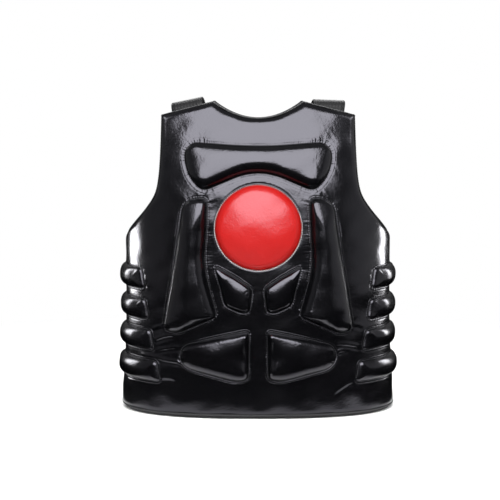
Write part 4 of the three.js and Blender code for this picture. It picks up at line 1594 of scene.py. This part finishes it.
# The thread's lightened tone is a painted highlight for the seams' dotted glints.
pad_stitches = sew("pad_stitches", list(seam_paths()), STITCH_PITCH, PAD_STITCH, THICK_THREAD)
tape_stitches = sew("tape_stitches", list(tape_paths()), TAPE_STITCH_PITCH, TAPE_STITCH, THIN_THREAD)
belt_stitches = sew("belt_stitches", list(band_paths()), TAPE_STITCH_PITCH, TAPE_STITCH, THICK_THREAD)

# %% [markdown]
# ## Riding
# The object has one body, so every piece rides on it. Each piece that stands for an imported solid hides
# that solid.


def dress(piece, slot, *nodes):
    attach(piece, "root")
    if nodes:
        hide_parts(*nodes)


dress(shell_cover, "black_leather", "shell")
for name, piece in pads.items():
    dress(piece, "red_leather" if name == "target_disc" else "black_leather", name)
for name, piece in bindings.items():
    dress(piece, "binding_tape", name)
dress(belt, "webbing", "back_belt")
for word, piece in straps.items():
    dress(piece, "webbing", f"shoulder_strap_{word}")
for piece in (pad_stitches, tape_stitches, belt_stitches):
    dress(piece, "binding_tape")

# %% [markdown]
# ## Floor
# The floor is pale paper. Glossy black leather would show all of it as grey, and in the photograph it
# shows only a little, close to the hem, as if a black cloth lay further out. A Light Path node tells the
# rays that leave a glossy surface, and for them alone the paper fades to black a short way from the
# object. Far off the paper turns into the white of the wall behind, as a studio sweep does.

# %% Floor
FLOOR_HALF = 1.2
SHOWN_FLOOR = {"X": (0.23, 0.28), "Y": (0.145, 0.2)}  # metres from the middle, start and end of the fade
FAR_FLOOR = (0.45, 1.05)  # where the paper turns into the wall
FIBRE_MM = 4


def floor_paper():
    material, tree = new_material("pale_paper")
    place = add_node(tree, "ShaderNodeTexCoord").outputs["Object"]
    fibres = add_node(
        tree, "ShaderNodeTexNoise", links={"Vector": place}, Scale=waves_per_metre(FIBRE_MM), Detail=3.0
    )
    tone = add_node(
        tree,
        "ShaderNodeMix",
        {"data_type": "RGBA"},
        {"Factor": fibres.outputs["Fac"]},
        {DARK: hex_linear("#F2F2F2"), LIGHT: hex_linear("#F8F8F7")},
    )
    apart = add_node(tree, "ShaderNodeVectorMath", {"operation": "ABSOLUTE"}, {0: place})
    sides = add_node(tree, "ShaderNodeSeparateXYZ", links={"Vector": apart.outputs["Vector"]})
    hidden = add_node(tree, "ShaderNodeLightPath").outputs["Is Glossy Ray"]
    fades = []
    for axis, (near, far) in SHOWN_FLOOR.items():
        fade = add_node(
            tree,
            "ShaderNodeMapRange",
            {"interpolation_type": "SMOOTHSTEP"},
            {"Value": sides.outputs[axis]},
            From_Min=near,
            From_Max=far,
        )
        fades.append(fade.outputs["Result"])
    faded = add_node(tree, "ShaderNodeMath", {"operation": "MAXIMUM"}, {0: fades[0], 1: fades[1]})
    share = add_node(
        tree, "ShaderNodeMath", {"operation": "MULTIPLY"}, {0: faded.outputs["Value"], 1: hidden}
    )
    paper = add_node(
        tree, "ShaderNodeBsdfPrincipled", links={"Base Color": tone.outputs[MIXED]}, Roughness=0.9
    )
    away = add_node(tree, "ShaderNodeVectorMath", {"operation": "LENGTH"}, {0: place})
    far_share = add_node(
        tree,
        "ShaderNodeMapRange",
        {"interpolation_type": "SMOOTHSTEP"},
        {"Value": away.outputs["Value"]},
        From_Min=FAR_FLOOR[0],
        From_Max=FAR_FLOOR[1],
    )
    wall = add_node(tree, "ShaderNodeEmission", Strength=1.0)
    sweep = add_node(
        tree,
        "ShaderNodeMixShader",
        links={0: far_share.outputs["Result"], 1: paper.outputs["BSDF"], 2: wall.outputs["Emission"]},
    )
    cloth = add_node(tree, "ShaderNodeEmission", Strength=0.0)
    surface = add_node(
        tree,
        "ShaderNodeMixShader",
        links={0: share.outputs["Value"], 1: sweep.outputs["Shader"], 2: cloth.outputs["Emission"]},
    )
    add_node(tree, "ShaderNodeOutputMaterial", links={"Surface": surface.outputs["Shader"]})
    return material


# %% The sheet on the ground
def floor_sheet():
    mesh = bpy.data.meshes.new("floor")
    corners = [(x * FLOOR_HALF, y * FLOOR_HALF, 0) for x, y in ((-1, -1), (1, -1), (1, 1), (-1, 1))]
    mesh.from_pydata(corners, [], [(0, 1, 2, 3)])
    mesh.materials.append(floor_paper())
    sheet = in_scene("floor", mesh)


floor_sheet()
print("floor", 2 * FLOOR_HALF, "m square")

# %% [markdown]
# ## Light
# The photograph is a product shot on white. A wide soft box in front and above makes the pale sheen on the
# upper chest, and cards beside the object light the flanks and the rolls. Two high cards draw the folds of
# the shell, and a box behind lights the belt and the straps. The rest is dim, so that black leather stays
# black. A real soft box is brightest in the middle, and a leather highlight shows that as a soft edge, so
# each light fades towards its rim. The cards are flagged off the front pads with Blender's light linking,
# as a studio does with black card.

# %% Soft-edged lights
CHEST = Vector((0, -0.10, 0.40))
LIGHTS = [  # name, turn and rise in degrees, metres away, width, height, watts, rim fades, receivers
    ("soft_box", 0, 33, 2.0, 2.7, 2.45, 185, (0.12, 0.34), None),
    ("flank_card_left", -116, -13, 0.95, 0.36, 0.22, 5.5, (0.4, 0.4), "flanks"),
    ("flank_card_right", 117, -13, 0.95, 0.34, 0.22, 4.0, (0.5, 0.5), "flanks"),
    ("roll_card_left", -114, -2, 0.9, 0.34, 0.62, 9, (0.7, 0.7), "rolls"),
    ("roll_card_right", 114, -2, 0.9, 0.34, 0.62, 9, (0.7, 0.7), "rolls"),
    ("high_card_left", -88, 36, 1.5, 1.2, 0.7, 14, (0.5, 0.5), "flanks"),
    ("high_card_right", 88, 36, 1.5, 1.2, 0.7, 14, (0.5, 0.5), "flanks"),
    ("back_box", 180, 32, 2.2, 1.8, 1.4, 55, (0.4, 0.4), None),
]
FLOOR_LIGHT = ("floor_light", 0, 78, 2.2, 2.5, 2.5, 45, (0.3, 0.3), None)
RECEIVERS = {
    "flanks": [shell_cover],
    "rolls": [piece for name, piece in pads.items() if name.startswith("rib_pad")],
}


def receiver_group(name):
    group = bpy.data.collections.new(name)
    for piece in RECEIVERS[name]:
        group.objects.link(piece)
    return group


GROUPS = {name: receiver_group(name) for name in RECEIVERS}


# %% Fading rims
RIM = 0.5  # how far a light's rim is from its middle on its own map


def fade_rim(data, fades):
    """Let a light's strength fall to nothing at its rim, over shares of its half width and half height."""
    data.use_nodes = True
    tree = data.node_tree
    tree.nodes.clear()
    place = add_node(tree, "ShaderNodeNewGeometry").outputs["Parametric"]
    centred = add_node(
        tree, "ShaderNodeVectorMath", {"operation": "SUBTRACT"}, {0: place}, {1: (RIM, RIM, 0)}
    )
    apart = add_node(
        tree, "ShaderNodeVectorMath", {"operation": "ABSOLUTE"}, {0: centred.outputs["Vector"]}
    )
    sides = add_node(tree, "ShaderNodeSeparateXYZ", links={"Vector": apart.outputs["Vector"]})
    shares = []
    for axis, fade in zip("XY", fades):
        share = add_node(
            tree,
            "ShaderNodeMapRange",
            {"interpolation_type": "SMOOTHSTEP"},
            {"Value": sides.outputs[axis]},
            From_Min=RIM - RIM * fade,
            From_Max=RIM,
            To_Min=1.0,
            To_Max=0.0,
        )
        shares.append(share.outputs["Result"])
    both = add_node(tree, "ShaderNodeMath", {"operation": "MULTIPLY"}, {0: shares[0], 1: shares[1]})
    glow = add_node(tree, "ShaderNodeEmission", links={"Strength": both.outputs["Value"]})
    add_node(tree, "ShaderNodeOutputLight", links={"Surface": glow.outputs["Emission"]})


# %% The lights in place
def add_light(name, turn, rise, away, width, height, watts, fades, receivers):
    turn, rise = math.radians(turn), math.radians(rise)
    way = Vector((math.sin(turn) * math.cos(rise), -math.cos(turn) * math.cos(rise), math.sin(rise)))
    data = bpy.data.lights.new(name, "AREA")
    data.shape = "RECTANGLE"
    data.size, data.size_y = width, height
    data.energy = watts
    fade_rim(data, fades)
    light = in_scene(name, data)
    light.location = CHEST + away * way
    light.rotation_euler = way.to_track_quat("Z", "Y").to_euler()
    light.visible_camera = False
    if receivers:
        light.light_linking.receiver_collection = GROUPS[receivers]
    return light


for row in LIGHTS:
    add_light(*row)
add_light(*FLOOR_LIGHT).visible_glossy = False
print(len(LIGHTS) + 1, "lights")

# %% [markdown]
# ## Surroundings
# The camera sees plain white behind the object. What the leather sees is a dim room, nearly black low down
# and grey overhead, with two brighter walls far to the sides that put a thin line of light on the flanks.
# One world holds both, and a Light Path node tells the camera's own rays from the others.

# %% Surroundings
DARK_LOW, PALE_HIGH = 0.03, 0.2
LEFT_WALL, RIGHT_WALL = 0.25, 0.55
LOW_TO_HIGH, WALL_EDGE = (0.04, 0.4), (0.6, 0.95)  # parts of a direction where room and walls change

world = bpy.data.worlds.new("white_studio")
world.use_nodes = True
sky = world.node_tree
sky.nodes.clear()
seen = add_node(sky, "ShaderNodeBackground", Color=(1, 1, 1, 1), Strength=1.0)
way = add_node(sky, "ShaderNodeTexCoord").outputs["Generated"]
parts = add_node(sky, "ShaderNodeSeparateXYZ", links={"Vector": way})
walls = add_node(
    sky,
    "ShaderNodeMapRange",
    {"interpolation_type": "SMOOTHSTEP"},
    {"Value": parts.outputs["Z"]},
    From_Min=LOW_TO_HIGH[0],
    From_Max=LOW_TO_HIGH[1],
    To_Min=DARK_LOW,
    To_Max=PALE_HIGH,
)
room = walls.outputs["Result"]
for edge, glow in ((-1, LEFT_WALL), (1, RIGHT_WALL)):
    wall = add_node(
        sky,
        "ShaderNodeMapRange",
        {"interpolation_type": "SMOOTHSTEP"},
        {"Value": parts.outputs["X"]},
        From_Min=WALL_EDGE[0] * edge,
        From_Max=WALL_EDGE[1] * edge,
        To_Max=glow,
    )
    both = add_node(sky, "ShaderNodeMath", {"operation": "MAXIMUM"}, {0: room, 1: wall.outputs["Result"]})
    room = both.outputs["Value"]
felt = add_node(sky, "ShaderNodeBackground", links={"Strength": room}, Color=(1, 1, 1, 1))
rays = add_node(sky, "ShaderNodeLightPath")
mixed = add_node(
    sky,
    "ShaderNodeMixShader",
    links={0: rays.outputs["Is Camera Ray"], 1: felt.outputs["Background"], 2: seen.outputs["Background"]},
)
add_node(sky, "ShaderNodeOutputWorld", links={"Surface": mixed.outputs["Shader"]})
bpy.context.scene.world = world
bpy.context.scene.view_settings.view_transform = "Standard"
print("room from", DARK_LOW, "to", PALE_HIGH)
